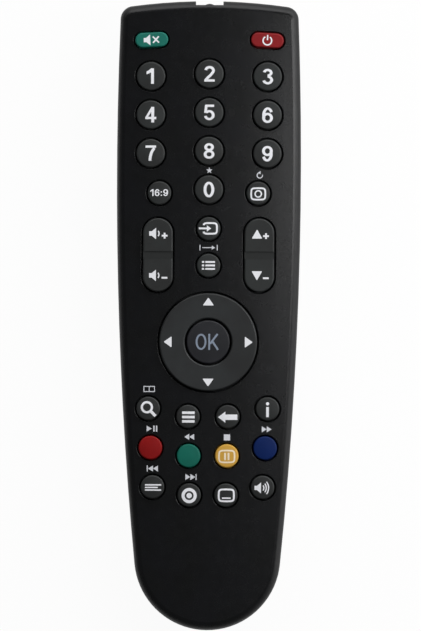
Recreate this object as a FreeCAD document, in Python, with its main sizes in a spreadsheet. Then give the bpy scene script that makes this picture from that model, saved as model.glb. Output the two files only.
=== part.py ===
import FreeCAD, Part
import math
import operator
import os

import Sketcher

# A hand-held infra-red remote control with a crowned front shell, a tapered rear shell, a sliding
# battery door, 28 push keys, two rocker keys and a navigation ring round a confirm key.
# The front face looks up (+Z), the end with the light-emitting diode points to +Y, and the part
# lies on its back with the origin in the middle of its underside. Lengths are in millimetres.

# Every driving dimension: its name, its value and what it measures.
SIZES = (
    ("case_length", 190.0, "head end to nose"),
    ("half_width", 27.8, "middle to side at the widest station"),
    ("wide_from_head", 52.0, "head end to the widest station"),
    ("side_radius", 1200.0, "bow of the long sides"),
    ("head_radius", 171.0, "bow of the head end"),
    ("head_corner", 4.0, "corner between the head end and a side"),
    ("parting_height", 11.4, "underside to the joint between the shells"),
    ("front_height", 23.0, "underside to the highest point of the front shell"),
    ("crown_across", 400.0, "bow of the front face from side to side"),
    ("front_edge", 2.5, "rounding of the front shell's rim"),
    ("hole_edge", 0.25, "rounding of the key holes' rims"),
    ("wall", 2.0, "wall of both shells"),
    ("rear_inset", 5.0, "how far the underside is drawn in from the parting line"),
    ("rear_corner", 3.6, "head corners of the underside"),
    ("rear_edge", 3.0, "rounding of the underside's rim"),
    ("lip_height", 1.2, "tongue of the rear shell inside the front shell"),
    ("lip_gap", 0.1, "clearance round that tongue"),
    ("notch_width", 8.3, "notch in the head end"),
    ("notch_depth", 1.2, "depth of that notch"),
    ("seat_width", 12.0, "thickened wall behind the notch"),
    ("seat_depth", 2.2, "its thickness behind the notch's floor"),
    ("board_bottom", 14.6, "underside to the circuit board"),
    ("board_thick", 1.2, "circuit board"),
    ("board_gap", 1.6, "circuit board's edge to the wall"),
    ("board_corner", 1.0, "board's and mat's corners at the head end"),
    ("board_length", 157.0, "head end to the board's lower edge"),
    ("mat_gap", 0.4, "rubber mat's edge inside the board's edge"),
    ("web_thick", 0.9, "flat web of the rubber mat"),
    ("bell_rise", 1.2, "height of the mat's bells over the web"),
    ("bell_spread", 1.2, "radius that a bell gains from its top to its foot"),
    ("bell_skin", 0.35, "thickness of a bell across its slope"),
    ("flange_thick", 0.8, "retaining flange of a key"),
    ("flange_lap", 0.7, "flange's reach past the key"),
    ("flange_gap", 0.1, "flange to the collar over it"),
    ("collar_wall", 1.0, "guide collar round a key hole"),
    ("key_gap", 0.4, "gap round a key in its hole"),
    ("key_stand", 1.1, "key's top over the front face"),
    ("key_edge", 0.45, "rounding of a key's rim"),
    ("key_dome", 0.15, "crown of a key's top"),
    ("key_travel_gap", 0.95, "carbon pill to its contact pad on a push key"),
    ("pill_thick", 0.2, "carbon pill"),
    ("pill_margin", 0.2, "carbon pill's edge inside its stem"),
    ("pad_thick", 0.05, "contact pad on the board"),
    ("number_radius", 4.3, "number keys"),
    ("small_radius", 3.55, "small round keys"),
    ("stem_inset", 1.2, "stem's edge inside a round key"),
    ("number_from_side", 10.2, "side to the outer number columns"),
    ("number_from_head", 22.0, "head end to the first middle number key"),
    ("number_pitch", 11.64, "number row to number row"),
    ("number_rise", 0.75, "middle number keys over the outer ones"),
    ("aspect_from_side", 12.9, "side to the two small keys beside the zero"),
    ("aspect_drop", 1.1, "those keys below the zero key"),
    ("source_from_head", 68.75, "head end to the source key"),
    ("guide_pitch", 11.1, "source key to guide key"),
    ("bar_length", 9.9, "pill-shaped keys"),
    ("bar_width", 4.4, "pill-shaped keys"),
    ("bar_from_side", 10.35, "side to a pill-shaped key"),
    ("bar_from_head", 11.8, "head end to the pill-shaped keys"),
    ("bar_lean", 3.0, "degrees that they lean outwards"),
    ("bar_stem", 1.3, "their stems' radius"),
    ("rocker_length", 22.2, "rocker keys"),
    ("rocker_width", 9.0, "rocker keys"),
    ("rocker_from_side", 12.5, "side to a rocker key"),
    ("rocker_from_head", 76.7, "head end to the rocker keys"),
    ("rocker_bottom", 1.3, "rocker's underside over the web"),
    ("rocker_waist", 2.2, "band across a rocker's middle"),
    ("rocker_waist_depth", 0.3, "depth of that band"),
    ("wing_lap", 0.75, "pivot wing's reach past the rocker's hole"),
    ("wing_width", 1.6, "pivot wing along the remote"),
    ("plunger_radius", 1.5, "plungers under the rockers and the ring"),
    ("rocker_plunger", 7.3, "pivot to a rocker's plunger"),
    ("rocker_pill_gap", 0.5, "carbon pill to its contact pad on a rocker"),
    ("ring_radius", 14.75, "navigation ring"),
    ("ring_bore", 7.1, "opening in the ring"),
    ("ring_gap", 0.45, "gap round the ring"),
    ("ring_from_head", 102.94, "head end to the ring's middle"),
    ("ring_plate", 1.9, "ring's top plate"),
    ("ring_wall", 1.35, "ring's outer wall"),
    ("ring_bore_wall", 1.0, "wall round the ring's opening"),
    ("ring_bore_clear", 0.6, "that wall over the confirm key's flange"),
    ("ring_collar_rise", 1.1, "ring's collar over the other collars"),
    ("ring_flange_gap", 1.1, "ring's flange to its collar"),
    ("ring_flange", 0.7, "ring's retaining flange"),
    ("ring_plunger", 10.65, "ring's middle to a plunger"),
    ("ring_pill_gap", 0.6, "carbon pill to its contact pad on the ring"),
    ("pad_side_gap", 0.4, "rubber pad to the ring's walls"),
    ("pad_web_gap", 2.4, "rubber pad over the mat's web"),
    ("confirm_radius", 6.55, "confirm key"),
    ("confirm_stem", 3.1, "confirm key's stem"),
    ("lower_from_head", 123.05, "head end to the outer keys of the first lower row"),
    ("lower_pitch", 11.85, "lower row to lower row"),
    ("lower_drop", 2.4, "inner lower keys below the outer ones"),
    ("lower_from_side", 9.8, "side to the outer keys of the first lower row"),
    ("lower_draw", 0.7, "how far each lower row's outer keys are drawn in"),
    ("post_from_side", 7.1, "side to the front posts beside the ring"),
    ("lower_post_inset", 6.5, "outer lower keys to the posts between the lower rows"),
    ("post_radius", 1.6, "posts that hold the board"),
    ("pin_radius", 0.9, "pins that locate the board"),
    ("pin_gap", 0.1, "clearance round those pins"),
    ("pin_stand", 0.6, "heat-staked end of a pin under the board"),
    ("cell_radius", 5.2, "battery cells"),
    ("cell_length", 43.4, "battery cell's can"),
    ("cell_tip", 1.0, "positive tip of a cell"),
    ("cell_tip_radius", 1.9, "radius of that tip"),
    ("cell_pitch", 11.0, "cell to cell"),
    ("cell_gap", 0.3, "cell to the bay's side walls"),
    ("cell_float", 0.35, "cell over the door"),
    ("spring_room", 4.6, "cell to the end wall at a spring"),
    ("plate_room", 0.4, "thickness of the contact plates"),
    ("plate_side_gap", 1.0, "contact plate to the bay's side wall"),
    ("plate_middle_gap", 1.0, "contact plate to the bay's middle"),
    ("plate_low", 3.0, "underside to a contact plate"),
    ("plate_high", 11.6, "underside to the top of a contact plate"),
    ("tab_width", 1.4, "contact tab that passes through the board"),
    ("tab_gap", 0.2, "clearance of that tab"),
    ("tab_from_side", 1.7, "bay's side wall to the middle of a tab"),
    ("tab_short", 0.1, "tab's end under the board's top"),
    ("wire_radius", 0.3, "wire of the contact springs"),
    ("spring_foot", 3.6, "radius of a contact spring at its plate"),
    ("spring_tip", 1.9, "radius of a contact spring at the cell"),
    ("bay_from_nose", 13.0, "nose to the battery bay"),
    ("tray_wall", 1.2, "walls and roof of the battery tray"),
    ("door_thick", 1.6, "battery door"),
    ("door_flush", 0.15, "door's face above the underside"),
    ("door_half", 14.5, "middle to the door's side"),
    ("door_gap", 0.15, "gap round the door"),
    ("door_head_lap", 3.4, "door past the battery bay at its head end"),
    ("rail_reach", 0.8, "door's side tongues"),
    ("rail_low", 0.7, "underside to the bottom of those tongues"),
    ("rail_high", 1.3, "underside to the top of those tongues"),
    ("rail_length", 34.0, "those tongues along the door"),
    ("rail_from_edge", 2.0, "door's head end to the tongues' groove"),
    ("ledge_thick", 1.4, "ledge that the door slides under"),
    ("ledge_side", 2.0, "ledge past the door's tongues"),
    ("ledge_lap", 1.5, "ledge past the door's head end"),
    ("grip_width", 14.0, "thumb grip on the door"),
    ("grip_from_edge", 4.0, "door's head end to the first groove of the grip"),
    ("grip_groove", 0.9, "one groove of the thumb grip"),
    ("grip_pitch", 2.0, "groove to groove"),
    ("grip_depth", 0.5, "depth of a groove"),
    ("screw_from_nose", 7.6, "nose to the case screw"),
    ("screw_radius", 1.1, "case screw's shank"),
    ("screw_head", 2.1, "radius of its head"),
    ("screw_head_high", 1.3, "height of its head"),
    ("screw_length", 13.0, "case screw under its head"),
    ("screw_seat", 3.4, "underside to the seat of its head"),
    ("screw_point", 1.2, "its pointed end"),
    ("screw_tip", 0.2, "radius of that end"),
    ("cross_reach", 1.3, "middle to the end of the cross recess"),
    ("cross_width", 0.5, "cross recess"),
    ("cross_depth", 0.7, "cross recess"),
    ("boss_wall", 1.3, "wall round the screw's holes"),
    ("led_radius", 2.5, "light-emitting diode"),
    ("led_gap", 0.15, "clearance round it"),
    ("led_stand", 0.64, "diode's tip out of the notch's floor"),
    ("led_length", 8.6, "diode from its tip to its back"),
    ("led_flange", 0.4, "diode's flange past its body"),
    ("led_flange_thick", 1.0, "that flange"),
    ("led_lead", 0.5, "side of a diode's lead"),
    ("led_pitch", 2.54, "lead to lead"),
    ("led_lead_run", 3.0, "lead behind the diode before it turns up"),
    ("lead_proud", 0.5, "lead's end over the board"),
    ("lead_relief", 0.9, "room in the mat round a lead's end"),
    ("lead_hole_gap", 0.2, "a lead's clearance in the board"),
    ("chip_across", 1.5, "middle to the controller chip's middle"),
    ("chip_from_head", 82.0, "head end to the controller chip's middle"),
    ("chip_width", 7.5, "controller chip"),
    ("chip_length", 13.0, "controller chip"),
    ("chip_high", 2.3, "controller chip"),
    ("chip_lift", 0.15, "board to the controller chip"),
    ("lead_width", 0.4, "flat leads"),
    ("lead_thick", 0.2, "flat leads"),
    ("lead_pitch", 1.27, "flat lead to flat lead"),
    ("lead_shoulder", 0.7, "chip's side to a lead's leg"),
    ("lead_foot", 0.9, "lead's foot on the board"),
    ("resonator_across", 11.0, "middle to the ceramic resonator"),
    ("resonator_from_head", 84.0, "head end to the ceramic resonator"),
    ("resonator_width", 3.3, "ceramic resonator"),
    ("resonator_length", 7.4, "ceramic resonator"),
    ("resonator_high", 3.4, "ceramic resonator"),
    ("can_across", 13.0, "middle to the capacitor"),
    ("can_from_head", 55.0, "head end to the capacitor's near end"),
    ("can_radius", 2.5, "capacitor"),
    ("can_length", 11.0, "capacitor"),
    ("can_lead", 0.5, "capacitor's leads"),
    ("can_lead_pitch", 2.0, "capacitor's lead to lead"),
    ("can_lead_run", 2.2, "capacitor's leads before they turn up"),
    ("smd_length", 2.0, "chip resistors and capacitors"),
    ("smd_width", 1.25, "chip resistors and capacitors"),
    ("smd_high", 0.6, "chip resistors and capacitors"),
    ("smd_from_head", 97.0, "head end to the first of them"),
    ("smd_pitch", 3.0, "one of them to the next"),
    ("smd_across", 4.0, "middle of the chip to each row"),
    ("transistor_across", 6.5, "middle to the transistor"),
    ("transistor_from_head", 17.0, "head end to the transistor"),
    ("transistor_length", 2.9, "transistor"),
    ("transistor_width", 1.3, "transistor"),
    ("transistor_high", 1.0, "transistor"),
    ("transistor_pitch", 0.95, "transistor's middle to an outer lead"),
    ("transistor_foot", 0.6, "transistor's leads"),
    ("hook_length", 6.0, "snap hooks along the side"),
    ("hook_thick", 1.0, "snap hooks"),
    ("hook_rise", 3.5, "snap hook over the parting line"),
    ("hook_bite", 0.5, "snap hook's barb"),
    ("hook_gap", 0.12, "clearance of the snap hooks"),
)
VALUES = {name: value for name, value, meaning in SIZES}
OPERATIONS = {"+": operator.add, "-": operator.sub, "*": operator.mul, "/": operator.truediv}

doc = FreeCAD.newDocument("remote_control")


class Dim:
    """A size as a number, for laying out, and as the sheet expression that gives that number."""

    def __init__(self, value, text):
        self.value = value
        self.text = text

    def __add__(self, other):
        return combine(self, other, "+")

    def __radd__(self, other):
        return combine(other, self, "+")

    def __sub__(self, other):
        return combine(self, other, "-")

    def __rsub__(self, other):
        return combine(other, self, "-")

    def __mul__(self, other):
        return combine(self, other, "*")

    def __rmul__(self, other):
        return combine(other, self, "*")

    def __truediv__(self, other):
        return combine(self, other, "/")

    def __neg__(self):
        return combine(0, self, "-")


def as_dim(number):
    """A plain number as a size."""
    if isinstance(number, Dim):
        return number
    return Dim(float(number), f"({float(number):.9g})")


def combine(first, second, sign):
    """Two sizes joined by a sign."""
    first = as_dim(first)
    second = as_dim(second)
    value = OPERATIONS[sign](first.value, second.value)
    return Dim(value, f"({first.text} {sign} {second.text})")


def root(size):
    """Square root of a size."""
    return Dim(math.sqrt(size.value), f"sqrt({size.text})")


def cosine(angle):
    """Cosine of an angle in degrees."""
    return Dim(math.cos(math.radians(angle.value)), f"cos({angle.text} * 1 deg)")


def sine(angle):
    """Sine of an angle in degrees."""
    return Dim(math.sin(math.radians(angle.value)), f"sin({angle.text} * 1 deg)")


def arc_sine(share):
    """Angle in degrees whose sine is a share."""
    return Dim(math.degrees(math.asin(share.value)), f"(asin({share.text}) / 1 deg)")


def size(name):
    """A driving dimension by its name in the sheet."""
    return Dim(VALUES[name], f"Sizes.{name}")


def write_sheet():
    """Puts every driving dimension into the document's spreadsheet, as plain numbers."""
    sheet = doc.addObject("Spreadsheet::Sheet", "Sizes")
    for row, (name, value, meaning) in enumerate(SIZES, start=1):
        sheet.set(f"A{row}", meaning)
        sheet.set(f"B{row}", str(value))
        sheet.setAlias(f"B{row}", name)
    doc.recompute()


def bind(feature, path, amount):
    """Ties a property, or a part of one, to a size."""
    feature.setExpression(path, as_dim(amount).text)


def new_body(name):
    """An empty body."""
    return doc.addObject("PartDesign::Body", name)


def new_sketch(body, name, plane="XY_Plane", offset=None):
    """A sketch on one of the body's own planes, moved along that plane's normal by offset."""
    sketch = body.newObject("Sketcher::SketchObject", name)
    support = next(o for o in body.Origin.OriginFeatures if o.Role == plane)
    sketch.AttachmentSupport = [(support, "")]
    sketch.MapMode = "FlatFace"
    if offset is not None:
        bind(sketch, "AttachmentOffset.Base.z", offset)
    return sketch


def constrain(sketch, kind, *where, amount=None):
    """Adds a constraint to a sketch. With an amount, its value comes from the sheet."""
    if amount is None:
        sketch.addConstraint(Sketcher.Constraint(kind, *where))
        return
    amount = as_dim(amount)
    index = sketch.addConstraint(Sketcher.Constraint(kind, *where, amount.value))
    sketch.setExpression(f"Constraints[{index}]", amount.text)


def fix_point(sketch, geometry, point, x, y):
    """Holds a point of a geometry at (x, y) in its sketch."""
    constrain(sketch, "DistanceX", -1, 1, geometry, point, amount=x)
    constrain(sketch, "DistanceY", -1, 1, geometry, point, amount=y)


def draw_circle(sketch, x, y, radius):
    """A circle held by its centre and its radius."""
    x, y, radius = as_dim(x), as_dim(y), as_dim(radius)
    centre = FreeCAD.Vector(x.value, y.value, 0)
    shape = Part.Circle(centre, FreeCAD.Vector(0, 0, 1), radius.value)
    circle = sketch.addGeometry(shape, False)
    fix_point(sketch, circle, 3, x, y)
    constrain(sketch, "Radius", circle, amount=radius)


def arc_between(start, end, radius, turn):
    """The short arc from start to end. turn is 1 if it runs anticlockwise and -1 if clockwise."""
    chord = end - start
    middle = (start + end) / 2
    left = FreeCAD.Vector(-chord.y, chord.x, 0).normalize()
    centre = middle + left * (turn * math.sqrt(radius**2 - (chord.Length / 2) ** 2))
    first, last = (start, end) if turn > 0 else (end, start)
    low = math.atan2(first.y - centre.y, first.x - centre.x)
    high = math.atan2(last.y - centre.y, last.x - centre.x)
    if high < low:
        high += 2 * math.pi
    circle = Part.Circle(centre, FreeCAD.Vector(0, 0, 1), radius)
    return Part.ArcOfCircle(circle, low, high)


def draw_loop(sketch, corners, arcs=None):
    """A closed loop through corners. arcs gives (radius, turn) for the edges that aren't straight."""
    arcs = arcs or {}
    corners = [(as_dim(x), as_dim(y)) for x, y in corners]
    points = [FreeCAD.Vector(x.value, y.value, 0) for x, y in corners]
    edges = []
    for number, start in enumerate(points):
        end = points[(number + 1) % len(points)]
        if number in arcs:
            radius, turn = as_dim(arcs[number][0]), arcs[number][1]
            edge = sketch.addGeometry(arc_between(start, end, radius.value, turn), False)
            edges.append((edge, 1, 2) if turn > 0 else (edge, 2, 1))
            constrain(sketch, "Radius", edge, amount=radius)
        else:
            edges.append((sketch.addGeometry(Part.LineSegment(start, end), False), 1, 2))
    for number, (edge, first, last) in enumerate(edges):
        following, its_first, its_last = edges[(number + 1) % len(edges)]
        constrain(sketch, "Coincident", edge, last, following, its_first)
        fix_point(sketch, edge, first, *corners[number])


def draw_box(sketch, left, right, low, high):
    """A rectangle from (left, low) to (right, high)."""
    draw_loop(sketch, [(left, low), (right, low), (right, high), (left, high)])


def draw_slot(sketch, centre_x, centre_y, reach, radius, lean=None):
    """A slot whose end centres lie reach to each side of its centre, turned anticlockwise by lean."""
    along_x, along_y = (reach, as_dim(0)) if lean is None else (reach * cosine(lean), reach * sine(lean))
    ends = [(centre_x - along_x, centre_y - along_y), (centre_x + along_x, centre_y + along_y)]
    points = [FreeCAD.Vector(x.value, y.value, 0) for x, y in ends]
    side = (points[1] - points[0]).normalize()
    across = FreeCAD.Vector(-side.y, side.x, 0) * radius.value
    heading = math.atan2(side.y, side.x)
    quarter = math.pi / 2
    up = FreeCAD.Vector(0, 0, 1)
    left_cap = Part.ArcOfCircle(
        Part.Circle(points[0], up, radius.value), heading + quarter, heading + 3 * quarter
    )
    right_cap = Part.ArcOfCircle(
        Part.Circle(points[1], up, radius.value), heading - quarter, heading + quarter
    )
    left = sketch.addGeometry(left_cap, False)
    bottom = sketch.addGeometry(Part.LineSegment(points[0] - across, points[1] - across), False)
    right = sketch.addGeometry(right_cap, False)
    top = sketch.addGeometry(Part.LineSegment(points[1] + across, points[0] + across), False)
    constrain(sketch, "Tangent", left, 2, bottom, 1)
    constrain(sketch, "Tangent", bottom, 2, right, 1)
    constrain(sketch, "Tangent", right, 2, top, 1)
    constrain(sketch, "Tangent", top, 2, left, 1)
    constrain(sketch, "Equal", left, right)
    constrain(sketch, "Radius", left, amount=radius)
    fix_point(sketch, left, 3, *ends[0])
    fix_point(sketch, right, 3, *ends[1])


# Sizes that follow from the driving dimensions.

HALF_LENGTH = size("case_length") / 2
NOSE_Y = -HALF_LENGTH
WIDE_Y = HALF_LENGTH - size("wide_from_head")
PARTING = size("parting_height")
APEX = size("front_height")
WALL = size("wall")
BOARD_TOP = size("board_bottom") + size("board_thick")
WEB_TOP = BOARD_TOP + size("web_thick")
FLANGE_BOTTOM = WEB_TOP + size("bell_rise")
FLANGE_TOP = FLANGE_BOTTOM + size("flange_thick")
COLLAR_PLANE = FLANGE_TOP + size("flange_gap")
RING_COLLAR_PLANE = COLLAR_PLANE + size("ring_collar_rise")
PAD_TOP = BOARD_TOP + size("pad_thick")
LIP_TOP = PARTING + size("lip_height")
LIP_SPLIT = WALL / 2
NOTCH_FLOOR = HALF_LENGTH - size("notch_depth")
SEAT_BACK = NOTCH_FLOOR - size("seat_depth")
RING_Y = HALF_LENGTH - size("ring_from_head")


def nose_radius():
    """Radius of the nose, whose arc runs into both side arcs without a corner."""
    far = size("side_radius") - size("half_width")
    rise = WIDE_Y - NOSE_Y
    top = size("side_radius") * size("side_radius") - far * far - rise * rise
    return top / (2 * (size("side_radius") - rise))


NOSE_RADIUS = nose_radius()


def circle_meeting(first, first_reach, second, second_reach):
    """The point to the right of first and second that lies first_reach and second_reach from them."""
    gap = (second[0] - first[0], second[1] - first[1])
    apart = math.hypot(*gap)
    along = (first_reach**2 - second_reach**2 + apart**2) / (2 * apart)
    aside = math.sqrt(first_reach**2 - along**2)
    unit = (gap[0] / apart, gap[1] / apart)
    options = [
        (first[0] + unit[0] * along - s * unit[1] * aside, first[1] + unit[1] * along + s * unit[0] * aside)
        for s in (1, -1)
    ]
    return max(options)


def draw_outline(sketch, inset, corner):
    """The case's plan, drawn in by inset: head arc, two corners, two side arcs and the nose arc."""
    inset, corner = as_dim(inset), as_dim(corner)
    side = size("side_radius") - inset
    head = size("head_radius") - inset
    nose = NOSE_RADIUS - inset
    side_x = size("side_radius") - size("half_width")
    head_y = HALF_LENGTH - size("head_radius")
    nose_y = NOSE_Y + NOSE_RADIUS
    side_centre = (-side_x.value, WIDE_Y.value)
    head_centre = (0.0, head_y.value)
    nose_centre = (0.0, nose_y.value)
    corner_centre = circle_meeting(
        head_centre, head.value - corner.value, side_centre, side.value - corner.value
    )

    def heading(start, end):
        return math.atan2(end[1] - start[1], end[0] - start[0])

    to_head = heading(head_centre, corner_centre)
    to_side = heading(side_centre, corner_centre)
    to_nose = heading(side_centre, nose_centre)
    half_turn = math.pi
    specs = (
        (head_centre, head, to_head, half_turn - to_head),
        ((-corner_centre[0], corner_centre[1]), corner, half_turn - to_head, half_turn - to_side),
        ((side_x.value, WIDE_Y.value), side, half_turn - to_side, half_turn - to_nose),
        (nose_centre, nose, half_turn - to_nose, to_nose + 2 * math.pi),
        (side_centre, side, to_nose, to_side),
        (corner_centre, corner, to_side, to_head),
    )
    arcs = []
    for centre, radius, start, end in specs:
        circle = Part.Circle(FreeCAD.Vector(*centre, 0), FreeCAD.Vector(0, 0, 1), radius.value)
        arcs.append(sketch.addGeometry(Part.ArcOfCircle(circle, start, end), False))
    for number, arc in enumerate(arcs):
        constrain(sketch, "Tangent", arc, 2, arcs[(number + 1) % len(arcs)], 1)
    head_arc, left_corner, left_side, nose_arc, right_side, right_corner = arcs
    constrain(sketch, "Radius", head_arc, amount=head)
    constrain(sketch, "Radius", left_corner, amount=corner)
    constrain(sketch, "Radius", right_corner, amount=corner)
    constrain(sketch, "Radius", left_side, amount=side)
    constrain(sketch, "Radius", right_side, amount=side)
    fix_point(sketch, left_side, 3, side_x, WIDE_Y)
    fix_point(sketch, right_side, 3, -side_x, WIDE_Y)
    fix_point(sketch, head_arc, 3, 0, head_y)
    constrain(sketch, "DistanceY", -1, 1, nose_arc, 3, amount=nose_y)


def front_height_at(x):
    """Height of the front face at a distance from its middle line."""
    across = size("crown_across")
    return APEX - across + root(across * across - x * x)


# Features of a body.


def pad(body, sketch, length, name, downwards=False):
    """Material of that length over a sketch, or under it."""
    feature = body.newObject("PartDesign::Pad", name)
    feature.Profile = sketch
    feature.Reversed = downwards
    bind(feature, "Length", length)
    return feature


def cut_through(body, sketch, name):
    """Cuts a sketch's outline through everything, both ways."""
    feature = body.newObject("PartDesign::Pocket", name)
    feature.Profile = sketch
    feature.Type = "ThroughAll"
    feature.Midplane = True
    return feature


def cut_up(body, sketch, depth, name):
    """Cuts a sketch's outline upwards from the sketch, by depth."""
    feature = body.newObject("PartDesign::Pocket", name)
    feature.Profile = sketch
    feature.Reversed = True
    bind(feature, "Length", depth)
    return feature


def round_edges(body, base, radius, chosen, name):
    """Rounds the edges of the base that are chosen by a test."""
    doc.recompute()
    edges = [f"Edge{n}" for n, edge in enumerate(base.Shape.Edges, start=1) if chosen(edge)]
    feature = body.newObject("PartDesign::Fillet", name)
    feature.Base = (base, edges)
    bind(feature, "Radius", radius)
    return feature


def spin(body, sketch, name):
    """Turns a half section about the sketch's upright axis."""
    feature = body.newObject("PartDesign::Revolution", name)
    feature.Profile = sketch
    feature.ReferenceAxis = (sketch, ["V_Axis"])
    feature.Angle = 360
    return feature


def place(feature, x=0, y=0, z=0):
    """Moves a feature to (x, y, z), tied to the sheet."""
    for axis, amount in (("x", x), ("y", y), ("z", z)):
        bind(feature, f"Placement.Base.{axis}", amount)


def cylinder(name, x, y, low, high, radius):
    """An upright cylinder from low to high."""
    feature = doc.addObject("Part::Cylinder", name)
    bind(feature, "Radius", radius)
    bind(feature, "Height", high - low)
    place(feature, x, y, low)
    return feature


def cone(name, x, y, low, high, low_radius, high_radius):
    """An upright cone from low to high."""
    feature = doc.addObject("Part::Cone", name)
    bind(feature, "Radius1", low_radius)
    bind(feature, "Radius2", high_radius)
    bind(feature, "Height", high - low)
    place(feature, x, y, low)
    return feature


def box(name, left, right, back, front, low, high):
    """A box between its six faces: left to right, back to front (-Y to +Y), low to high."""
    left, right, back, front, low, high = map(as_dim, (left, right, back, front, low, high))
    feature = doc.addObject("Part::Box", name)
    bind(feature, "Length", right - left)
    bind(feature, "Width", front - back)
    bind(feature, "Height", high - low)
    place(feature, left, back, low)
    return feature


def lying_cylinder(name, x, z, back, front, radius):
    """A cylinder along Y from back to front."""
    feature = doc.addObject("Part::Cylinder", name)
    feature.Placement.Rotation = FreeCAD.Rotation(FreeCAD.Vector(1, 0, 0), -90)
    bind(feature, "Radius", radius)
    bind(feature, "Height", front - back)
    place(feature, x, back, z)
    return feature


def fused(name, pieces):
    """Several pieces as one."""
    feature = doc.addObject("Part::MultiFuse", name)
    feature.Shapes = pieces
    return feature


def cut(name, base, tool):
    """base without tool."""
    feature = doc.addObject("Part::Cut", name)
    feature.Base = base
    feature.Tool = tool
    return feature


def common(name, base, tool):
    """What base and tool share."""
    feature = doc.addObject("Part::Common", name)
    feature.Base = base
    feature.Tool = tool
    return feature


def group(name, pieces):
    """Several separate solids under one name."""
    feature = doc.addObject("Part::Compound", name)
    feature.Links = pieces
    return feature


# The keys: where each one lies and what kind it is.


KEY_RADII = {"number": "number_radius", "confirm": "confirm_radius"}


class Key:
    """One key: its name, its kind and the place of its middle."""

    def __init__(self, name, kind, x, y):
        self.name = name
        self.kind = kind
        self.x = as_dim(x)
        self.y = as_dim(y)
        self.radius = size(KEY_RADII.get(kind, "small_radius"))

    @property
    def stem(self):
        """Radius of the stem under a round key."""
        if self.kind == "confirm":
            return size("confirm_stem")
        return self.radius - size("stem_inset")


def column_at(name):
    """A column's distance from the middle, given its distance from the side."""
    return size("half_width") - size(name)


def number_keys():
    """The telephone layout of the number keys, with the zero below the eight."""
    keys = []
    for row in range(4):
        middle_y = HALF_LENGTH - size("number_from_head") - row * size("number_pitch")
        if row == 3:
            keys.append(Key("key_0", "number", 0, middle_y))
            continue
        outer_y = middle_y - size("number_rise")
        aside = column_at("number_from_side")
        for column, (x, y) in enumerate(((-aside, outer_y), (0, middle_y), (aside, outer_y))):
            keys.append(Key(f"key_{3 * row + column + 1}", "number", x, y))
    return keys


def upper_small_keys():
    """The two small keys beside the zero, and the source and guide keys below it."""
    zero_y = HALF_LENGTH - size("number_from_head") - 3 * size("number_pitch")
    beside_y = zero_y - size("aspect_drop")
    source_y = HALF_LENGTH - size("source_from_head")
    return [
        Key("key_aspect", "small", -column_at("aspect_from_side"), beside_y),
        Key("key_repeat", "small", column_at("aspect_from_side"), beside_y),
        Key("key_source", "small", 0, source_y),
        Key("key_guide", "small", 0, source_y - size("guide_pitch")),
    ]


LOWER_ROWS = (
    ("key_zoom", "key_menu", "key_back", "key_info"),
    ("key_red", "key_green", "key_yellow", "key_blue"),
    ("key_text", "key_record", "key_subtitle", "key_audio"),
)


def lower_small_keys():
    """Three arched rows of four small keys, evenly spread, below the ring."""
    keys = []
    for row, names in enumerate(LOWER_ROWS):
        outer_y = HALF_LENGTH - size("lower_from_head") - row * size("lower_pitch")
        inner_y = outer_y - size("lower_drop")
        outer_x = column_at("lower_from_side") - row * size("lower_draw")
        inner_x = outer_x / 3
        places = ((-outer_x, outer_y), (-inner_x, inner_y), (inner_x, inner_y), (outer_x, outer_y))
        for name, (x, y) in zip(names, places):
            keys.append(Key(name, "small", x, y))
    return keys


ROUND_KEYS = number_keys() + upper_small_keys() + lower_small_keys()
CONFIRM_KEY = Key("key_ok", "confirm", 0, RING_Y)
BAR_Y = HALF_LENGTH - size("bar_from_head")
BAR_KEYS = (
    (Key("key_mute", "bar", -column_at("bar_from_side"), BAR_Y), size("bar_lean")),
    (Key("key_power", "bar", column_at("bar_from_side"), BAR_Y), -size("bar_lean")),
)
ROCKER_Y = HALF_LENGTH - size("rocker_from_head")
ROCKER_KEYS = (
    Key("key_volume", "rocker", -column_at("rocker_from_side"), ROCKER_Y),
    Key("key_programme", "rocker", column_at("rocker_from_side"), ROCKER_Y),
)
BAR_REACH = (size("bar_length") - size("bar_width")) / 2
ROCKER_REACH = (size("rocker_length") - size("rocker_width")) / 2
RING_HOLE = size("ring_radius") + size("ring_gap")


def plungers():
    """Every stem over the mat, as its name, its middle and its radius."""
    found = [(key.name, key.x, key.y, key.stem) for key in ROUND_KEYS + [CONFIRM_KEY]]
    found += [(key.name, key.x, key.y, size("bar_stem")) for key, lean in BAR_KEYS]
    for key in ROCKER_KEYS:
        for end, way in (("upper", 1), ("lower", -1)):
            y = key.y + way * size("rocker_plunger")
            found.append((f"{key.name}_{end}", key.x, y, size("plunger_radius")))
    for end, across, along in RING_PLUNGERS:
        x = across * size("ring_plunger")
        y = RING_Y + along * size("ring_plunger")
        found.append((f"nav_{end}", x, y, size("plunger_radius")))
    return found


RING_PLUNGERS = (("up", 0, 1), ("left", -1, 0), ("down", 0, -1), ("right", 1, 0))

# Where the front shell's posts hold the board: across from the middle, and down from the head end.
FRONT_POSTS = (
    (column_at("number_from_side") / 2, 28.0),
    (column_at("number_from_side") / 2, 51.2),
    (column_at("post_from_side"), 92.0),
    (column_at("lower_from_side") - size("lower_post_inset"), 142.3),
)
# Where the rear shell's posts carry the board from below.
REAR_POSTS = ((17.0, 24.0), (17.0, 74.0), (17.0, 108.0))
# Where the snap hooks sit: down from the head end.
HOOK_STATIONS = (16.0, 50.0, 92.0, 132.0)
# How many grooves the door's thumb grip has.
GRIP_GROOVES = 7
# Leads along each side of the controller chip, and chips in each row of small parts.
CHIP_LEADS_PER_SIDE = 10
SMD_PER_ROW = 4
# Turns of a contact spring, and points per turn where its least gap is measured.
SPRING_TURNS = 3
SPRING_STEPS = 48
SIDES = ((-1, "left"), (1, "right"))


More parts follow.
